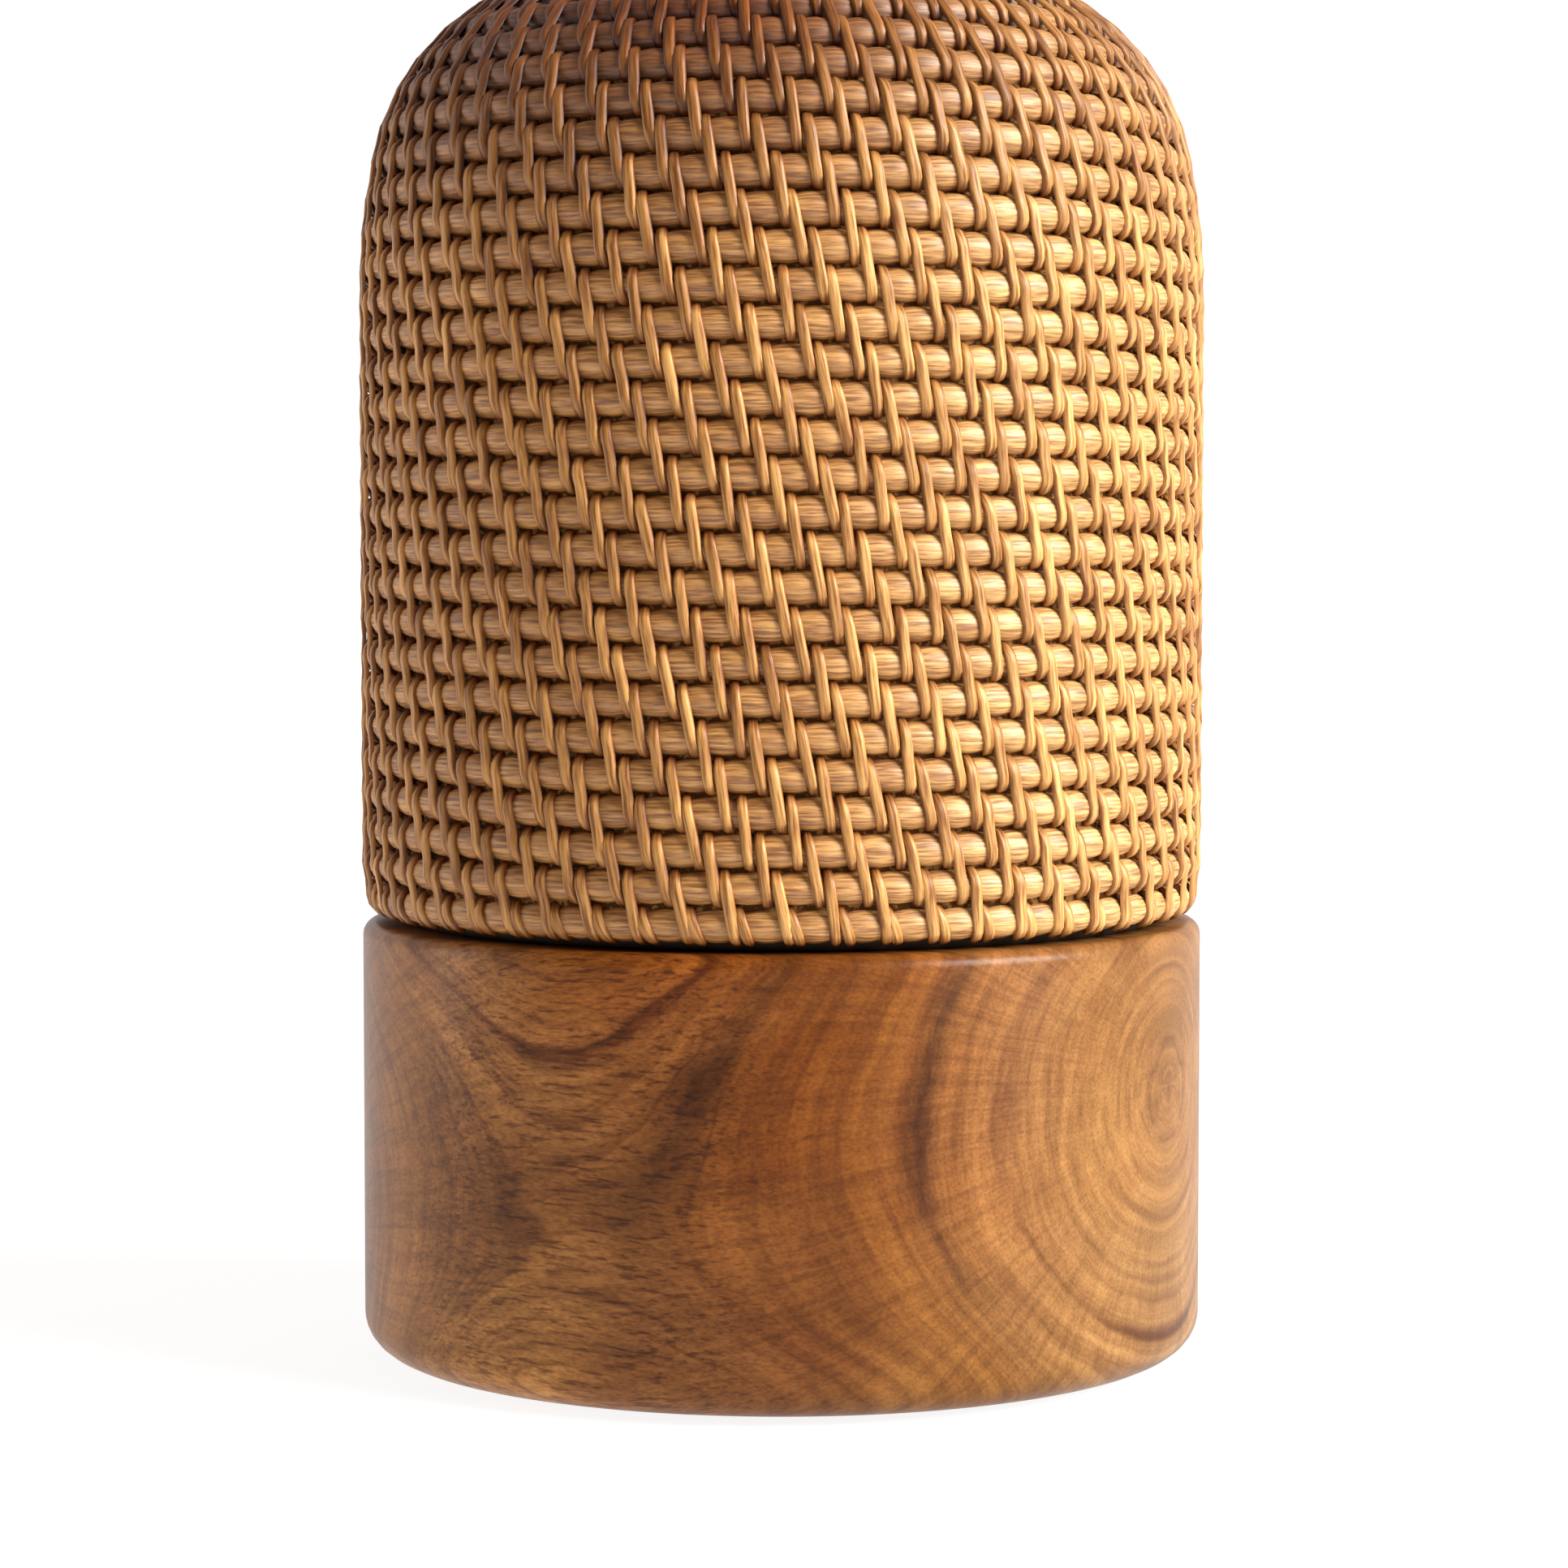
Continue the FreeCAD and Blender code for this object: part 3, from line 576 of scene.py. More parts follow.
def makeWeave(values):
    profile, start, usable = weaveProfile(values)
    rows = round(usable / values["rowPitch"]) + 1
    pitch = usable / (rows - 1)
    shared = {"Profile": profile, "Row Pitch": pitch, "Per Row": values["stitchesPerRow"],
              "Row Shift": values["rowShift"]}
    reeds = bakeTree("weaveReeds", reedTree(), {
        **shared, "Start": start, "Rows": rows, "Reed Radius": values["reedRadius"],
        "Steps": values["reedSteps"] + 1, "Sides": values["reedSides"] + 1, "Pinch": values["pinch"],
        "Reed Material": rattanMaterial("reedCane", rattan, canes["reedCane"])})
    lean = math.tan(math.radians(values["lean"]))
    longStitch = stitchShape("longStitch", values, stitchPath(values, 2, values["dip"]),
                             values["stripWidth"], lean)
    footStitch = stitchShape("footStitch", values, stitchPath(values, 1, 0),
                             values["stripWidth"] * values["footWidth"], lean * values["footLean"])
    tree = stitchTree(values)
    laid = {**shared, "Wander": values["wander"],
            "Strip Material": rattanMaterial("stripCane", rattan, canes["stripCane"])}
    stitches = bakeTree("weaveStitches", tree, {
        **laid, "Stitch": longStitch, "First Row": start + pitch / 2, "Rows": rows - 1,
        "Phase": 0.0, "Seed": values["seed"]})
    footing = bakeTree("weaveFootStitches", tree, {
        **laid, "Stitch": footStitch, "First Row": start, "Rows": 1,
        "Phase": values["footPhase"], "Seed": values["seed"] + 20}, (longStitch, footStitch, profile))
    print("weave:", rows, "rows,", len(stitches.polygons), "stitch faces,", len(reeds.polygons), "reed faces")
    addPiece("weaveReeds", reeds, None, "body", "weave_wall", slot="rattan")
    addPiece("weaveStitches", stitches, None, "body", "weave_shoulder", slot="rattan")
    addPiece("weaveFootStitches", footing, None, "body", "weave_border", slot="rattan")


def lathe(name, outline, steps):
    # A closed surface of revolution from (radius, height) corners, taken anticlockwise.
    work = bmesh.new()
    rings = []
    for step in range(steps):
        turn = fullTurn * step / steps
        rings.append([work.verts.new((r * math.cos(turn), r * math.sin(turn), z)) for r, z in outline])
    count = len(outline)
    for step in range(steps):
        ring, following = rings[step], rings[(step + 1) % steps]
        for i in range(count):
            j = (i + 1) % count
            if outline[i][0] < 1e-9 and outline[j][0] < 1e-9:
                continue
            work.faces.new((ring[i], following[i], following[j], ring[j]))
    bmesh.ops.remove_doubles(work, verts=work.verts, dist=1e-7)
    bmesh.ops.recalc_face_normals(work, faces=work.faces)
    mesh = keepMesh(work, name)
    mesh.shade_smooth()
    return mesh


def makeShadeLining(values, around):
    # A dark sheet inside the coil, seen only between stitches: painted shade, with lighter straw bits.
    outer, curveStart, curveTurn, shoulder = weaveOutline(around)
    cover = around["stripThick"] + around["reedRadius"] + values["depth"]
    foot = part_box("weave_border")[0][2] + values["foot"]
    bend = around["shoulderRadius"] - cover
    outline = [(outer - cover, foot), (outer - cover, curveStart)]
    outline += arc(shoulder, bend, curveTurn, curveTurn, 1)
    outline += arc(shoulder, bend, curveTurn, math.radians(values["endAngle"]), 8)
    thick, drop = values["thick"]
    inner = [(r - thick, z - drop) for r, z in reversed(outline)]
    mesh = lathe("weaveLining", outline + inner, values["steps"])
    addPiece("weaveLining", mesh, shadeLiningMaterial(values), "body", slot="rattan")
    print("shadeLining")


makeWeave(weave)
makeShadeLining(shadeLining, weave)


# x runs along the pith from the far end, "span" is the same from 0 to 1, y runs across it and z up;
# pairs are where a patch starts and is whole.
wood = {
    "pithAzimuth": 62.0,       # degrees to the right of the front, where the pith leaves the side
    "pithHeight": 29.5 * mm,
    "pithRise": 11.0,          # degrees the pith climbs towards the right
    "wobble": 9 * mm,
    "fray": 3 * mm,            # how far the rings' edges stray
    "ringsPerMetre": 420.0,
    # Colour of the growth by millimetres from the pith, up to "ringSpan".
    "ringSpan": 72.0,
    "rings": [
        (0.0, (0.14, 0.055, 0.014)), (2.0, (0.21, 0.090, 0.025)), (5.5, (0.26, 0.120, 0.032)),
        (7.2, (0.15, 0.060, 0.016)), (9.0, (0.265, 0.125, 0.034)), (25.0, (0.265, 0.124, 0.036)),
        (31.0, (0.26, 0.112, 0.032)), (33.0, (0.165, 0.060, 0.016)), (35.0, (0.265, 0.108, 0.029)),
        (40.4, (0.23, 0.084, 0.019)), (42.8, (0.068, 0.021, 0.004)), (45.2, (0.22, 0.074, 0.014)),
        (49.0, (0.19, 0.060, 0.008)), (53.5, (0.165, 0.046, 0.004)), (56.6, (0.145, 0.040, 0.004)),
        (58.2, (0.078, 0.022, 0.002)), (59.3, (0.20, 0.070, 0.013)), (61.0, (0.34, 0.140, 0.036)),
        (61.8, (0.27, 0.106, 0.026)), (62.8, (0.37, 0.154, 0.040)), (63.3, (0.16, 0.056, 0.012)),
        (63.9, (0.40, 0.168, 0.046)), (67.0, (0.33, 0.134, 0.034)), (71.0, (0.36, 0.150, 0.038))],
    "plainRings": [
        (0.0, (0.260, 0.122, 0.034)), (40.0, (0.25, 0.102, 0.026)), (48.0, (0.21, 0.072, 0.012)),
        (57.5, (0.21, 0.072, 0.014)), (60.0, (0.35, 0.145, 0.038)), (72.0, (0.36, 0.150, 0.040))],
    "sapwood": {"shade": (1.10, 1.34, 1.62), "x": (30 * mm, 42 * mm), "z": (-12 * mm, -34 * mm)},
    "heartwood": {"shade": (0.80, 0.70, 0.58), "x": (-3 * mm, 8 * mm), "z": (3 * mm, 11 * mm),
                  "reach": (58 * mm, 60 * mm)},
    "farSide": {"shade": (0.36, 0.150, 0.039), "span": [(0.20, 0.75), (0.42, 0.0)]},
    "paleSide": {"shade": (1.14, 1.21, 1.18), "z": (-1 * mm, -12 * mm),
                 "span": [(0.10, 0.0), (0.20, 1.0), (0.46, 1.0), (0.58, 0.0)]},
    # Painted shade: the front's far left edge darker.
    "paintedEdgeShade": {"shade": (0.66, 0.58, 0.48), "span": [(0.02, 1.0), (0.16, 0.0)]},
    "dullFoot": {"shade": (0.66, 0.60, 0.56), "z": (-8 * mm, -22 * mm),
                 "span": [(0.46, 0.0), (0.62, 1.0), (0.82, 1.0), (0.90, 0.0)]},
    "amberTop": {"shade": (0.86, 0.70, 0.42), "z": (16 * mm, 27 * mm),
                 "span": [(0.38, 0.0), (0.48, 1.0), (0.72, 1.0), (0.86, 0.0)]},
    "arc": {"shade": (0.42, 0.30, 0.22), "radii": (31.4, 32.6, 33.3, 34.6),     # dark ring under the pith
            "z": (-8 * mm, -22 * mm), "offset": (20 * mm, 10 * mm)},
    "thread": {"shade": (0.60, 0.47, 0.37), "radii": (62.8, 63.15, 63.4, 63.8),     # thin ring over the side
               "z": (4 * mm, 10 * mm)},
    "poreDepth": 0.8,
}


def woodMaterial(name, values):
    material, tree, shader = newMaterial(name)
    place = ownPlace(tree)
    turn = math.radians(values["pithAzimuth"] - 90)
    centred = vectorMaths(tree, "SUBTRACT", place, (0, 0, values["pithHeight"]))
    along = addNode(tree, "ShaderNodeMapping", {"Vector": centred, "Rotation": (0, 0, -turn)},
                    vector_type="POINT").outputs[0]
    sway = noise(tree, scaled(tree, along, (12, 24, 24)), 1.0, 4.0, 0.45, "Color")
    swayed = vectorMaths(tree, "ADD", along, scaled(
        tree, vectorMaths(tree, "SUBTRACT", sway, (0.5, 0.5, 0.5)), (0, values["wobble"], values["wobble"])))
    x, y, z = separate(tree, swayed)
    z = maths(tree, "MULTIPLY_ADD", x, -math.tan(math.radians(values["pithRise"])), z)
    reach = radiusOf(tree, y, z)
    around = maths(tree, "ARCTAN2", z, y)
    span = maths(tree, "MULTIPLY_ADD", x, 10.0, 0.5)
    places = {"x": x, "z": z, "reach": reach, "offset": maths(tree, "ABSOLUTE", y)}
    lines = values["ringsPerMetre"]

    def layered(radial, lengthwise, turning, detail, shift):
        # Noise drawn out along the rings and along the grain.
        spot = combine(tree, times(tree, reach, radial), times(tree, x, lengthwise),
                       maths(tree, "MULTIPLY_ADD", maths(tree, "SINE", around), turning, shift))
        return noise(tree, spot, 1.0, detail, 0.6)

    def growth(distance, stops):
        return ramp(tree, maths(tree, "DIVIDE", distance, values["ringSpan"] * mm),
                    [(radius / values["ringSpan"], shade) for radius, shade in stops])

    def within(patch, start=1.0):
        # How much of a patch shows, from its bounds.
        share = ramp(tree, span, patch["span"]) if "span" in patch else start
        for axis in ("x", "z", "reach", "offset"):
            if axis in patch:
                share = times(tree, mapRange(tree, places[axis], *patch[axis]), share)
        return share

    fray = maths(tree, "MULTIPLY_ADD", layered(700, 30, 9.0, 4.0, 5.2), values["fray"], -values["fray"] / 2)
    # The rings fade into plain wood in places, and low down outside the innermost ones.
    fading = ramp(tree, layered(60, 14, 2.6, 3.0, 8.4), [(0.36, 0.15), (0.58, 1.0)])
    fadeFrom = mapRange(tree, reach, 45 * mm, 48 * mm, -16 * mm, -1 * mm)
    below = mapRange(tree, maths(tree, "SUBTRACT", z, fadeFrom), 0.0, -9 * mm, 1.0, 0.2)
    inside = mapRange(tree, reach, 36 * mm, 38 * mm)
    fading = times(tree, fading, mixColour(tree, inside, white, below))
    colour = mixColour(tree, fading, growth(reach, values["plainRings"]),
                       growth(maths(tree, "ADD", reach, fray), values["rings"]))
    for label in ("sapwood", "heartwood"):
        colour = tint(tree, within(values[label]), colour, values[label]["shade"])
    colour = mixColour(tree, within(values["farSide"]), colour, values["farSide"]["shade"])
    # The edge shade among these is painted shade on the front's far left.
    for label in ("paleSide", "paintedEdgeShade", "dullFoot", "amberTop"):
        colour = tint(tree, within(values[label]), colour, values[label]["shade"])
    bent = maths(tree, "MULTIPLY_ADD", fray, 0.4, reach)
    for label in ("arc", "thread"):
        band = values[label]
        ring = growth(bent, zip(band["radii"], (0.0, 1.0, 1.0, 0.0)))
        colour = tint(tree, within(band, ring), colour, band["shade"])

    # Side grain shows pores as flecks; end grain shows fine growth lines and rays instead.
    sideGrain = ramp(tree, times(tree, maths(tree, "ABSOLUTE", x), 10.0), [(0.16, 1.0), (0.33, 0.12)])
    patches = noise(tree, scaled(tree, along, (45, 75, 75)), 1.0, 4.0, 0.65)
    pores = noise(tree, scaled(tree, swayed, (150, 1500, 1500)), 1.0, 3.0, 0.6)
    speckle = noise(tree, scaled(tree, swayed, (900, 2600, 2600)), 1.0, 2.0, 0.6)
    rays = noise(tree, combine(tree, times(tree, reach, 90), times(tree, x, 60),
                               times(tree, around, 42)), 1.0, 3.0, 0.6)
    endGrain = times(tree, maths(tree, "SUBTRACT", 1.0, sideGrain), 0.42)
    for share, pattern, (low, dark), (high, light) in (
            # fine lines and soft patches
            (0.6, layered(lines * 2, 20, 2.0, 5.0, 1.3),
             (0.30, (0.52, 0.42, 0.34)), (0.62, (1.25, 1.27, 1.3))),
            (0.6, patches, (0.34, (0.72, 0.66, 0.60)), (0.66, (1.25, 1.28, 1.32))),
            # growth lines, on end grain and then on side grain
            (endGrain, layered(lines, 9, 0.7, 2.0, 3.3),
             (0.38, (0.62, 0.50, 0.40)), (0.54, (1.06, 1.06, 1.06))),
            (times(tree, sideGrain, 0.55), layered(lines * 3.6, 26, 0.8, 2.0, 7.7),
             (0.36, (0.56, 0.44, 0.34)), (0.47, (1.05, 1.05, 1.05))),
            # pores, speckle, and rays that are weak near the pith
            (times(tree, sideGrain, values["poreDepth"]), pores,
             (0.36, (0.36, 0.25, 0.17)), (0.49, (1.06, 1.06, 1.06))),
            (maths(tree, "MULTIPLY_ADD", sideGrain, 0.15, 0.45), speckle,
             (0.36, (0.62, 0.52, 0.44)), (0.60, (1.18, 1.2, 1.22))),
            (mapRange(tree, reach, 12 * mm, 34 * mm, 0.05, 0.6), rays,
             (0.34, (0.66, 0.58, 0.5)), (0.56, (1.1, 1.1, 1.12)))):
        colour = tint(tree, share, colour, ramp(tree, pattern, [(low, dark), (high, light)]))
    dress(tree, shader, maths(tree, "MULTIPLY_ADD", pores, -0.12, 0.44), colour,
          bump(tree, pores, 0.03 * mm, 0.5), specular=0.16, coat=0.07, coatRoughness=0.22)
    return material


def roundedOutline(corners, roundings, steps=8):
    # Corners of a closed (radius, height) outline, some of them rounded.
    outline = []
    for i, (spot, rounding) in enumerate(zip(corners, roundings)):
        if not rounding:
            outline.append(spot)
            continue
        corner = Vector(spot)
        before = (Vector(corners[i - 1]) - corner).normalized()
        after = (Vector(corners[(i + 1) % len(corners)]) - corner).normalized()
        half = before.angle(after) / 2
        reach = rounding / math.tan(half)
        centre = corner + (before + after).normalized() * (rounding / math.sin(half))
        first, last = corner + before * reach - centre, corner + after * reach - centre
        for step in range(steps + 1):
            outline.append(tuple(centre + first.lerp(last, step / steps).normalized() * rounding))
    return outline


base = {"footEdge": 5.5 * mm, "topEdge": 2 * mm, "recessEdge": 0.3 * mm, "recessClearance": 0.2 * mm,
        "steps": 256}


def makeBase(values):
    low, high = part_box("wood_base")
    _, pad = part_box("base_pad")
    recess = pad[0] + values["recessClearance"]
    corners = {(0, pad[2]): 0, (recess, pad[2]): 0, (recess, low[2]): values["recessEdge"],
               (high[0], low[2]): values["footEdge"], (high[0], high[2]): values["topEdge"], (0, high[2]): 0}
    mesh = lathe("woodBase", roundedOutline(list(corners), corners.values()), values["steps"])
    addPiece("woodBase", mesh, woodMaterial("turnedHardwood", wood), "body", "wood_base", slot="turned_wood")
    print("wooden base")


makeBase(base)


def slotMaterial(name):
    # Empties the material that the frame gives a slot, for its new look.
    material = bpy.data.materials[name]
    material.use_nodes = True
    tree = material.node_tree
    tree.nodes.clear()
    shader = tree.nodes.new("ShaderNodeBsdfPrincipled")
    tree.links.new(shader.outputs[0], tree.nodes.new("ShaderNodeOutputMaterial").inputs[0])
    return tree, shader, ownPlace(tree)


def aboutAxis(tree, place):
    # Distance from the upright axis, angle about it and height.
    x, y, z = separate(tree, place)
    return radiusOf(tree, x, y), maths(tree, "ARCTAN2", y, x), z


# "lines" counts the brushing lines in a metre.
metals = {
    "steel": {"light": (0.50, 0.485, 0.46), "dark": (0.31, 0.295, 0.27), "roughness": 0.25, "lines": 5200},
    "tinplate": {"light": (0.43, 0.43, 0.415), "dark": (0.34, 0.34, 0.325), "roughness": 0.30, "lines": 2600},
    "zinc": {"light": (0.50, 0.51, 0.52), "dark": (0.36, 0.37, 0.38), "roughness": 0.42, "lines": 1500},
}


def metalMaterial(name, values):
    # Brushing runs round the axis, as a lathe leaves it.
    tree, shader, place = slotMaterial(name)
    radius, angle, z = aboutAxis(tree, place)
    spot = combine(tree, times(tree, radius, values["lines"]),
                   times(tree, z, values["lines"]),
                   times(tree, maths(tree, "SINE", angle), 2.0))
    brushing = noise(tree, spot, 1.0, 3.0, 0.6)
    smudges = noise(tree, place, 130, 4.0, 0.6)
    colour = mixColour(tree, ramp(tree, brushing, [(0.3, 0.0), (0.7, 1.0)]), values["dark"], values["light"])
    colour = mixColour(tree, ramp(tree, smudges, [(0.45, 0.0), (0.75, 0.35)]), colour, values["dark"])
    rough = maths(tree, "MULTIPLY_ADD", smudges, 0.16, values["roughness"] - 0.12)
    rough = maths(tree, "MULTIPLY_ADD", brushing, 0.12, rough)
    dress(tree, shader, rough, colour, bump(tree, brushing, 0.012 * mm, 0.6), metallic=1.0, anisotropic=0.4)


# The larger "mottle" is, the finer the pattern.
dullSlots = {
    "wire": {"dark": (0.020, 0.013, 0.009), "light": (0.045, 0.028, 0.018), "roughness": 0.62,
             "mottle": 900},
    "seal_rubber": {"dark": (0.020, 0.019, 0.018), "light": (0.045, 0.043, 0.040), "roughness": 0.60,
                    "mottle": 1400},
}


def dullMaterial(name, values):
    tree, shader, place = slotMaterial(name)
    mottle = noise(tree, place, values["mottle"], 4.0, 0.6)
    dress(tree, shader, maths(tree, "MULTIPLY_ADD", mottle, 0.2, values["roughness"] - 0.1),
          mixColour(tree, mottle, values["dark"], values["light"]), bump(tree, mottle, 0.03 * mm),
          specular=0.2)


cork = {"granule": 1.6 * mm, "ragged": 0.6 * mm, "pale": (0.50, 0.30, 0.15), "brown": (0.26, 0.125, 0.050),
        "speck": (0.07, 0.03, 0.013)}


def corkMaterial(values):
    tree, shader, place = slotMaterial("cork")
    spot = vectorMaths(tree, "ADD", place, scaled(
        tree, noise(tree, place, 900, output="Color"), (values["ragged"],) * 3))

    def granules(feature, output):
        return addNode(tree, "ShaderNodeTexVoronoi", {"Vector": spot, "Scale": 1 / values["granule"]},
                       feature=feature).outputs[output]

    edge = granules("DISTANCE_TO_EDGE", "Distance")
    colour = mixColour(tree, separate(tree, granules("F1", "Color"))[0], values["brown"], values["pale"])
    colour = mixColour(tree, ramp(tree, edge, [(0.02, 0.75), (0.10, 0.0)]), colour, values["speck"])
    specks = ramp(tree, noise(tree, spot, 1400), [(0.66, 0.0), (0.72, 0.8)])
    dress(tree, shader, 0.82, mixColour(tree, specks, colour, values["speck"]),
          bump(tree, edge, 0.2 * mm, 0.7))


plywood = {"plies": 5, "pale": (0.60, 0.40, 0.21), "dark": (0.36, 0.20, 0.09)}


def plywoodMaterial(values):
    # Each ply's grain runs across the last one's.
    tree, shader, place = slotMaterial("plywood")
    low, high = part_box("frame_floor")
    z = separate(tree, place)[2]
    ply = maths(tree, "FLOOR", times(tree, maths(tree, "SUBTRACT", z, low[2]),
                                     values["plies"] / (high[2] - low[2]) * 0.999))
    crossed = maths(tree, "MODULO", ply, 2.0)
    grain = noise(tree, mixColour(tree, crossed, scaled(tree, place, (30, 900, 1)),
                                  scaled(tree, place, (900, 30, 1))), 1.0, 4.0, 0.6)
    colour = mixColour(tree, ramp(tree, grain, [(0.35, 0.0), (0.62, 1.0)]), values["dark"], values["pale"])
    colour = mixColour(tree, times(tree, crossed, 0.55), colour, values["dark"])
    dress(tree, shader, 0.7, colour, bump(tree, grain, 0.05 * mm))


knobWood = {"dark": (0.13, 0.046, 0.014), "light": (0.34, 0.155, 0.052), "fleck": (0.05, 0.018, 0.007),
            "sway": 6 * mm}


def knobMaterial(values):
    # The knob is turned from one stick, so its grain runs up it.
    tree, shader, place = slotMaterial("turned_wood")
    spot = scaled(tree, place, (1, 1, 0.12))
    sway = vectorMaths(tree, "ADD", spot, scaled(
        tree, noise(tree, spot, 90, output="Color"), (values["sway"], values["sway"], 0.0)))
    sideways = combine(tree, times(tree, separate(tree, sway)[0], 900), 0.0, 0.0)
    bands = ramp(tree, noise(tree, sideways, 1.0, 3.0, 0.6), [(0.34, 0.0), (0.64, 1.0)])
    flecks = noise(tree, scaled(tree, sway, (2600, 2600, 1500)), 1.0)
    colour = mixColour(tree, ramp(tree, flecks, [(0.34, 0.8), (0.42, 0.0)]),
                       mixColour(tree, bands, values["dark"], values["light"]), values["fleck"])
    dress(tree, shader, maths(tree, "MULTIPLY_ADD", flecks, -0.15, 0.45), colour,
          bump(tree, flecks, 0.03 * mm, 0.5), coat=0.2, coatRoughness=0.2)


wickCloth = {"yarns": 16, "pitch": 3.4 * mm, "pale": (0.80, 0.77, 0.70), "shade": (0.30, 0.26, 0.21),
             "char": (0.035, 0.028, 0.024), "charDepths": (4.37 * mm, 1.37 * mm), "ragged": 4 * mm}


def wickMaterial(values):
    # A round braid: two sets of yarns crossing as helices, one over the other in turn. It is charred
    # at the top, between two depths below it.
    tree, shader, place = slotMaterial("glass_fibre")
    _, angle, z = aboutAxis(tree, place)
    around = times(tree, angle, values["yarns"] / 2 / fullTurn)
    rise = maths(tree, "DIVIDE", z, values["pitch"])
    first, second = maths(tree, "ADD", around, rise), maths(tree, "SUBTRACT", around, rise)

    def hump(phase):
        return maths(tree, "ABSOLUTE", maths(tree, "SINE", times(tree, phase, fullTurn / 2)))

    def strand(upper, lower):
        return times(tree, hump(upper), maths(tree, "SQRT", hump(lower)))

    both = maths(tree, "ADD", maths(tree, "FLOOR", first), maths(tree, "FLOOR", second))
    over = maths(tree, "GREATER_THAN", maths(tree, "ABSOLUTE", maths(tree, "MODULO", both, 2.0)), 0.5)
    height = mixColour(tree, over, strand(first, second), strand(second, first))
    hairs = noise(tree, stretch(tree, (first, second, z), (9, 9, 1)), 1.0, 3.0)
    colour = mixColour(tree, ramp(tree, height, [(0.05, 0.0), (0.45, 1.0)]), values["shade"], values["pale"])
    colour = tint(tree, 0.6, colour, ramp(tree, hairs, [(0.3, 0.7), (0.7, 1.1)]))
    ragged = maths(tree, "MULTIPLY_ADD", noise(tree, place, 420, 3.0), values["ragged"], z)
    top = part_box("wick")[1][2]
    scorch = mapRange(tree, ragged, *(top - depth for depth in values["charDepths"]))
    dress(tree, shader, 0.9, mixColour(tree, scorch, colour, values["char"]),
          bump(tree, height, 0.5 * mm, 0.8), specular=0.2)


knobMaterial(knobWood)
wickMaterial(wickCloth)


knurl = {"ridges": 76, "width": 1.0 * mm, "rise": 0.32 * mm, "margin": 1.4 * mm, "runOut": 0.5 * mm,
         "root": 0.1 * mm}


def knurlTree():
    tree, given, result = newTree("knurledBand", {
        "Ridge": "object", "Ridges": "count", "Radius": "number", "Height": "number", "Metal": "material"})
    spots, index = makeSpots(tree, given["Ridges"])
    turn = times(tree, index, maths(tree, "DIVIDE", fullTurn, given["Ridges"]))
    spots = setPlace(tree, spots, onCircle(tree, turn, given["Radius"], given["Height"]))
    many = scatter(tree, spots, given["Ridge"], combine(tree, 0.0, 0.0, turn))
    return finishTree(tree, many, given["Metal"], result, smooth=False)


def makeKnurl(values):
    # Finger ridges round the burner's screw cap.
    low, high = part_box("burner_cap")
    half = (high[2] - low[2]) / 2 - values["margin"]
    full = half - values["runOut"]
    work = bmesh.new()
    rings = []
    for height, share in ((-half, 0.35), (-full, 1.0), (full, 1.0), (half, 0.35)):
        width, rise = values["width"] / 2 * share, values["rise"] * share
        section = ((-width, -values["root"]), (-width * 0.6, rise * 0.8), (0, rise),
                   (width * 0.6, rise * 0.8), (width, -values["root"]))
        rings.append([work.verts.new((out, across, height)) for across, out in section])
    skin(work, rings, closed=False)
    ridge = linkObject("knurlRidge", keepMesh(work, "knurlRidge"))
    mesh = bakeTree("capKnurl", knurlTree(), {
        "Ridge": ridge, "Ridges": values["ridges"], "Radius": high[0], "Height": (high[2] + low[2]) / 2,
        "Metal": bpy.data.materials["steel"]}, (ridge,))
    addPiece("capKnurl", mesh, None, "cap", slot="steel")
    print("knurl:", values["ridges"], "ridges")


fray = {"fibres": 150, "length": 2.3 * mm, "thickness": 0.16 * mm, "bow": 0.6 * mm, "spread": 0.4,
        "inset": 0.9 * mm, "seed": 9}


def frayTree():
    tree, given, result = newTree("frayedTop", {
        "Fibre": "object", "Fibres": "count", "Radius": "number", "Height": "number", "Spread": "number",
        "Seed": "count", "Charred": "material"})
    spots, index = makeSpots(tree, given["Fibres"])
    # Sunflower spacing fills the round end evenly.
    turn = times(tree, index, math.pi * (3 - math.sqrt(5)))
    reach = times(tree, maths(tree, "SQRT", maths(tree, "DIVIDE", index, given["Fibres"])), given["Radius"])
    spots = setPlace(tree, spots, onCircle(tree, turn, reach, given["Height"]))

    def draw(low, high, extra):
        return chance(tree, index, given["Seed"], low, high, extra)

    tilt, lean = (times(tree, draw(-1, 1, extra), given["Spread"]) for extra in (0, 1))
    size = combine(tree, 1.0, 1.0, draw(0.45, 1.0, 2))
    many = scatter(tree, spots, given["Fibre"], combine(tree, tilt, lean, draw(0, 6.28, 3)), size)
    return finishTree(tree, many, given["Charred"], result)


def makeFray(values):
    # Loose charred ends of the wick, standing on its top.
    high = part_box("wick")[1]
    work = bmesh.new()
    rings = []
    for share, slant, width in ((-0.2, 0, 1.0), (0.35, 0.08, 1.0), (0.7, 0.25, 0.8), (1.0, 0.55, 0.35)):
        radius, shift, height = values["thickness"] * width, slant * values["bow"], share * values["length"]
        turns = [fullTurn * i / 4 for i in range(4)]
        rings.append([work.verts.new((radius * math.cos(turn) + shift, radius * math.sin(turn), height))
                      for turn in turns])
    skin(work, rings)
    fibre = linkObject("frayFibre", keepMesh(work, "frayFibre"))
    mesh = bakeTree("wickFray", frayTree(), {
        "Fibre": fibre, "Fibres": values["fibres"], "Radius": high[0] - values["inset"], "Height": high[2],
        "Spread": values["spread"], "Seed": values["seed"],
        "Charred": bpy.data.materials["glass_fibre"]}, (fibre,))
    addPiece("wickFray", mesh, None, "wick", slot="glass_fibre")
    print("wick's end:", values["fibres"], "fibres")


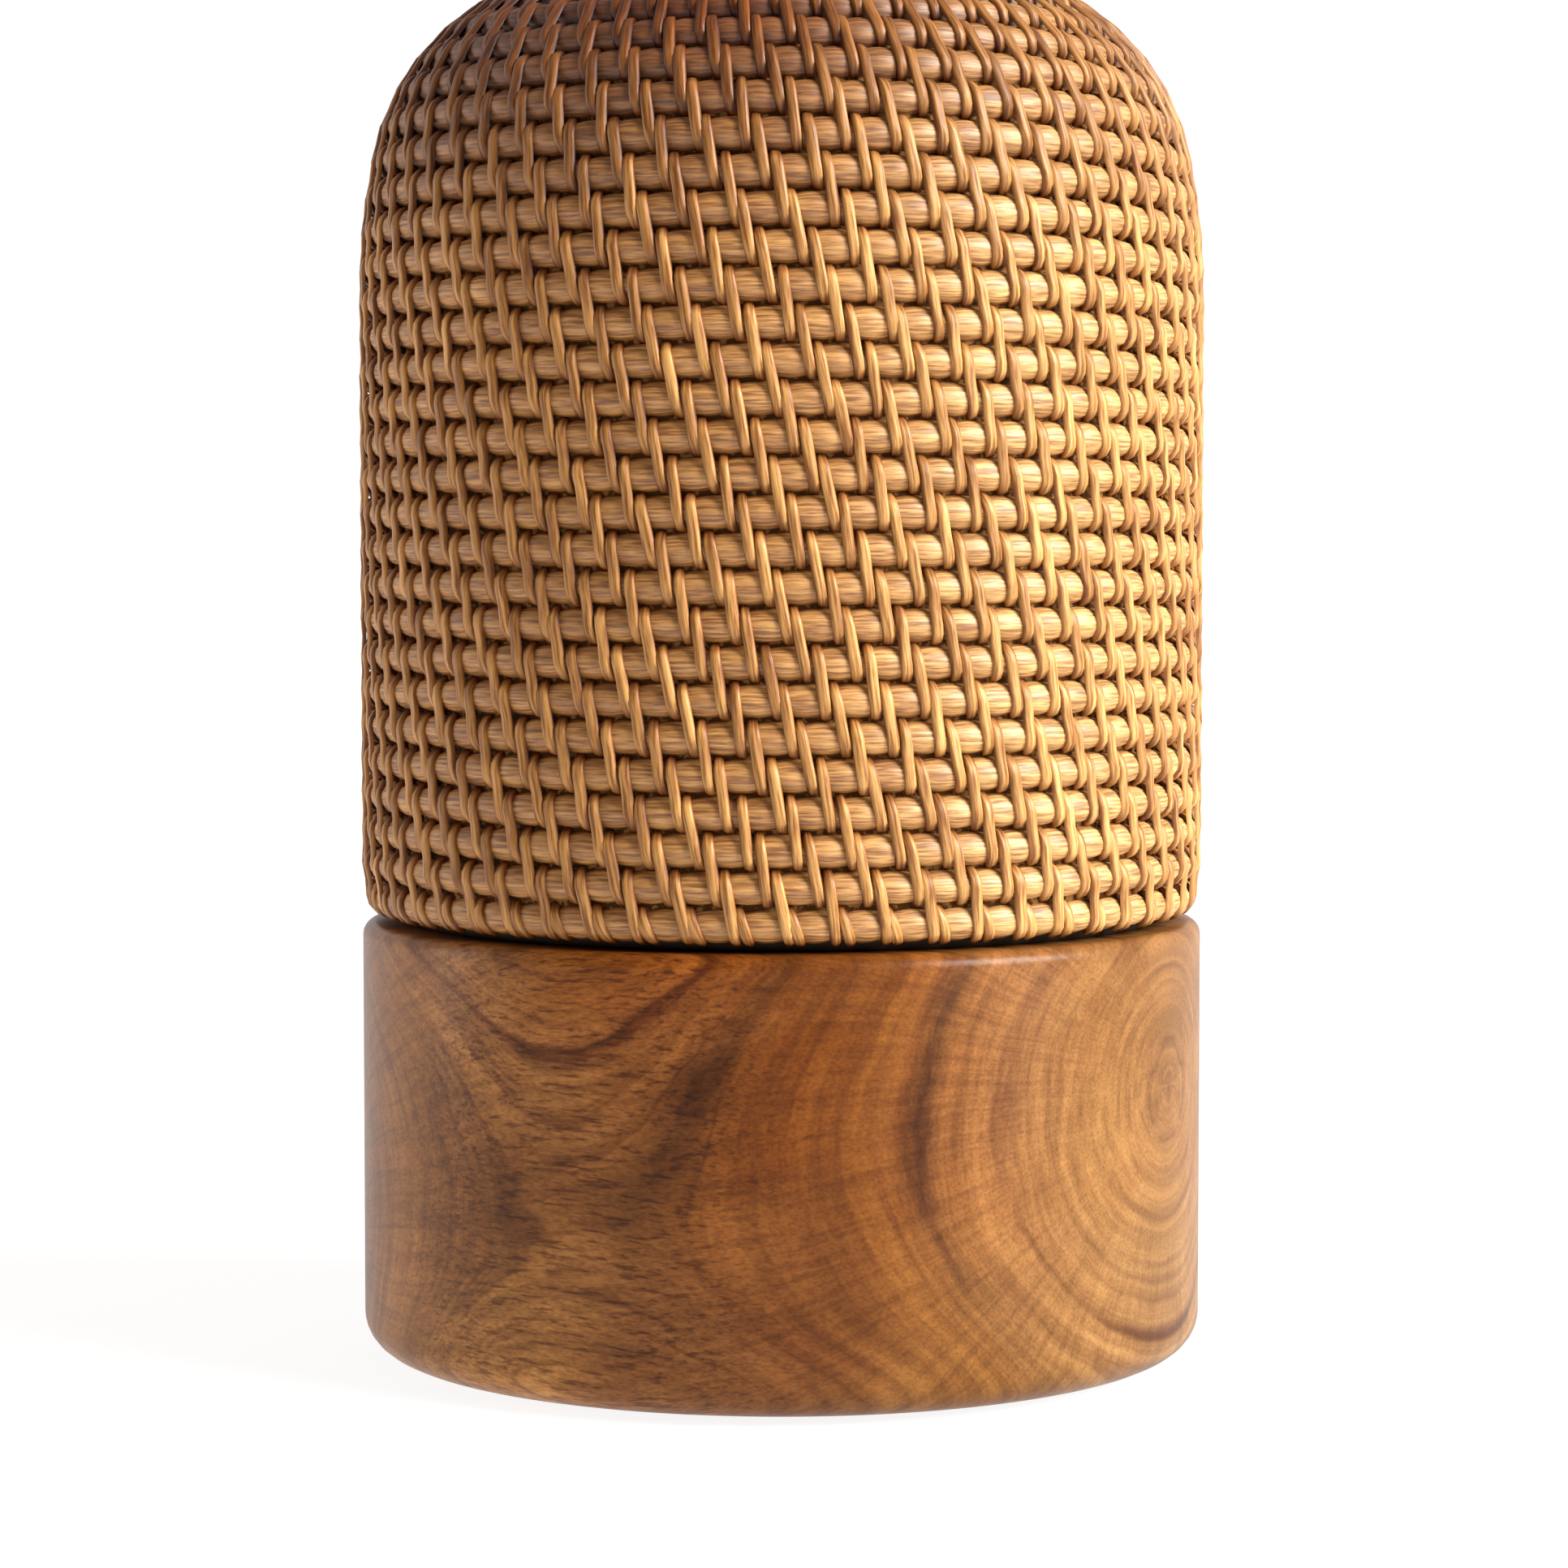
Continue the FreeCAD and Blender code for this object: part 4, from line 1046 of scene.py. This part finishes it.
makeKnurl(knurl)
makeFray(fray)
for slotName, finish in metals.items():
    metalMaterial(slotName, finish)
for slotName, finish in dullSlots.items():
    dullMaterial(slotName, finish)
corkMaterial(cork)
plywoodMaterial(plywood)
print("plain materials")


studio = {
    "floorColour": (0.17, 0.19),
    "floorGlow": 0.89,        # a lit table, on which shadows stay pale
    "floorRadius": 14.0,
    "sunPower": 6.7,
    "sunColour": (1.0, 0.985, 0.95),
    "sunAzimuth": 66.0,       # degrees to the right of the front
    "sunHeight": 27.0,
    "sunSpread": 36.0,
    "skyTop": (0.38, 0.345, 0.29),
    "skyBack": (1.02, 1.02, 1.02),
    "skyFront": (0.07, 0.050, 0.030),
    "softboxes": {
        "softbox": {"place": (0.95, -0.35, 0.25), "size": (0.16, 0.7), "power": 1.2},
        "rimSoftbox": {"place": (-0.85, 0.12, 0.20), "size": (0.14, 0.7), "power": 1.6}},
    "softboxColour": (1.0, 0.98, 0.95),
    "softboxTarget": (0, 0, 0.11),
}


def makeFloor(values):
    material, tree, shader = newMaterial("paleFloor")
    place = ownPlace(tree)
    low, high = values["floorColour"]
    dress(tree, shader, 0.9, ramp(tree, noise(tree, place, 3.0), [(0.0, low), (1.0, high)]), specular=0.1,
          glow=values["floorGlow"])
    shader.inputs["Emission Color"].default_value = (*white, 1)
    work = bmesh.new()
    bmesh.ops.create_circle(work, cap_ends=True, segments=96, radius=values["floorRadius"])
    mesh = keepMesh(work, "floor")
    mesh.materials.append(material)
    floor = linkObject("floor", mesh)


def placeLight(data, place, target):
    light = linkObject(data.name, data)
    light.location = place
    light.rotation_euler = (Vector(target) - Vector(place)).to_track_quat("-Z", "Y").to_euler()


def makeStudio(values):
    world = bpy.data.worlds.new("studioSky")
    world.use_nodes = True
    bpy.context.scene.world = world
    tree = world.node_tree
    _, y, z = separate(tree, addNode(tree, "ShaderNodeTexCoord").outputs["Generated"])
    sides = ramp(tree, maths(tree, "MULTIPLY_ADD", y, 0.5, 0.5),
                 [(0.36, values["skyFront"]), (0.86, values["skyBack"])])
    upward = ramp(tree, z, [(0.15, 0.0), (0.85, 1.0)])
    tree.links.new(mixColour(tree, upward, sides, values["skyTop"]), tree.nodes["Background"].inputs["Color"])
    sun = bpy.data.lights.new("softSun", "SUN")
    sun.energy, sun.color = values["sunPower"], values["sunColour"]
    sun.angle = math.radians(values["sunSpread"])
    azimuth, height = math.radians(values["sunAzimuth"]), math.radians(values["sunHeight"])
    placeLight(sun, (math.sin(azimuth) * math.cos(height) * 2, -math.cos(azimuth) * math.cos(height) * 2,
                     math.sin(height) * 2), (0, 0, 0))
    for name, box in values["softboxes"].items():
        light = bpy.data.lights.new(name, "AREA")
        light.shape = "RECTANGLE"
        light.size, light.size_y = box["size"]
        light.energy, light.color = box["power"], values["softboxColour"]
        placeLight(light, box["place"], values["softboxTarget"])
    bpy.context.scene.view_settings.view_transform = "Standard"


view = {"distance": 0.6124, "height": 0.11645, "side": 0.00035, "lens": 97.92, "sensor": 36,
        "pitch": 3.262, "nearest": 0.05, "farthest": 60}


def makeCamera(values):
    data = bpy.data.cameras.new("camera")
    data.sensor_width, data.lens = values["sensor"], values["lens"]
    data.clip_start, data.clip_end = values["nearest"], values["farthest"]
    camera = linkObject("camera", data)
    camera.location = (values["side"], -values["distance"], values["height"])
    camera.rotation_euler = (math.radians(90 - values["pitch"]), 0, 0)
    bpy.context.scene.camera = camera


makeFloor(studio)
makeStudio(studio)
makeCamera(view)
print("studio")
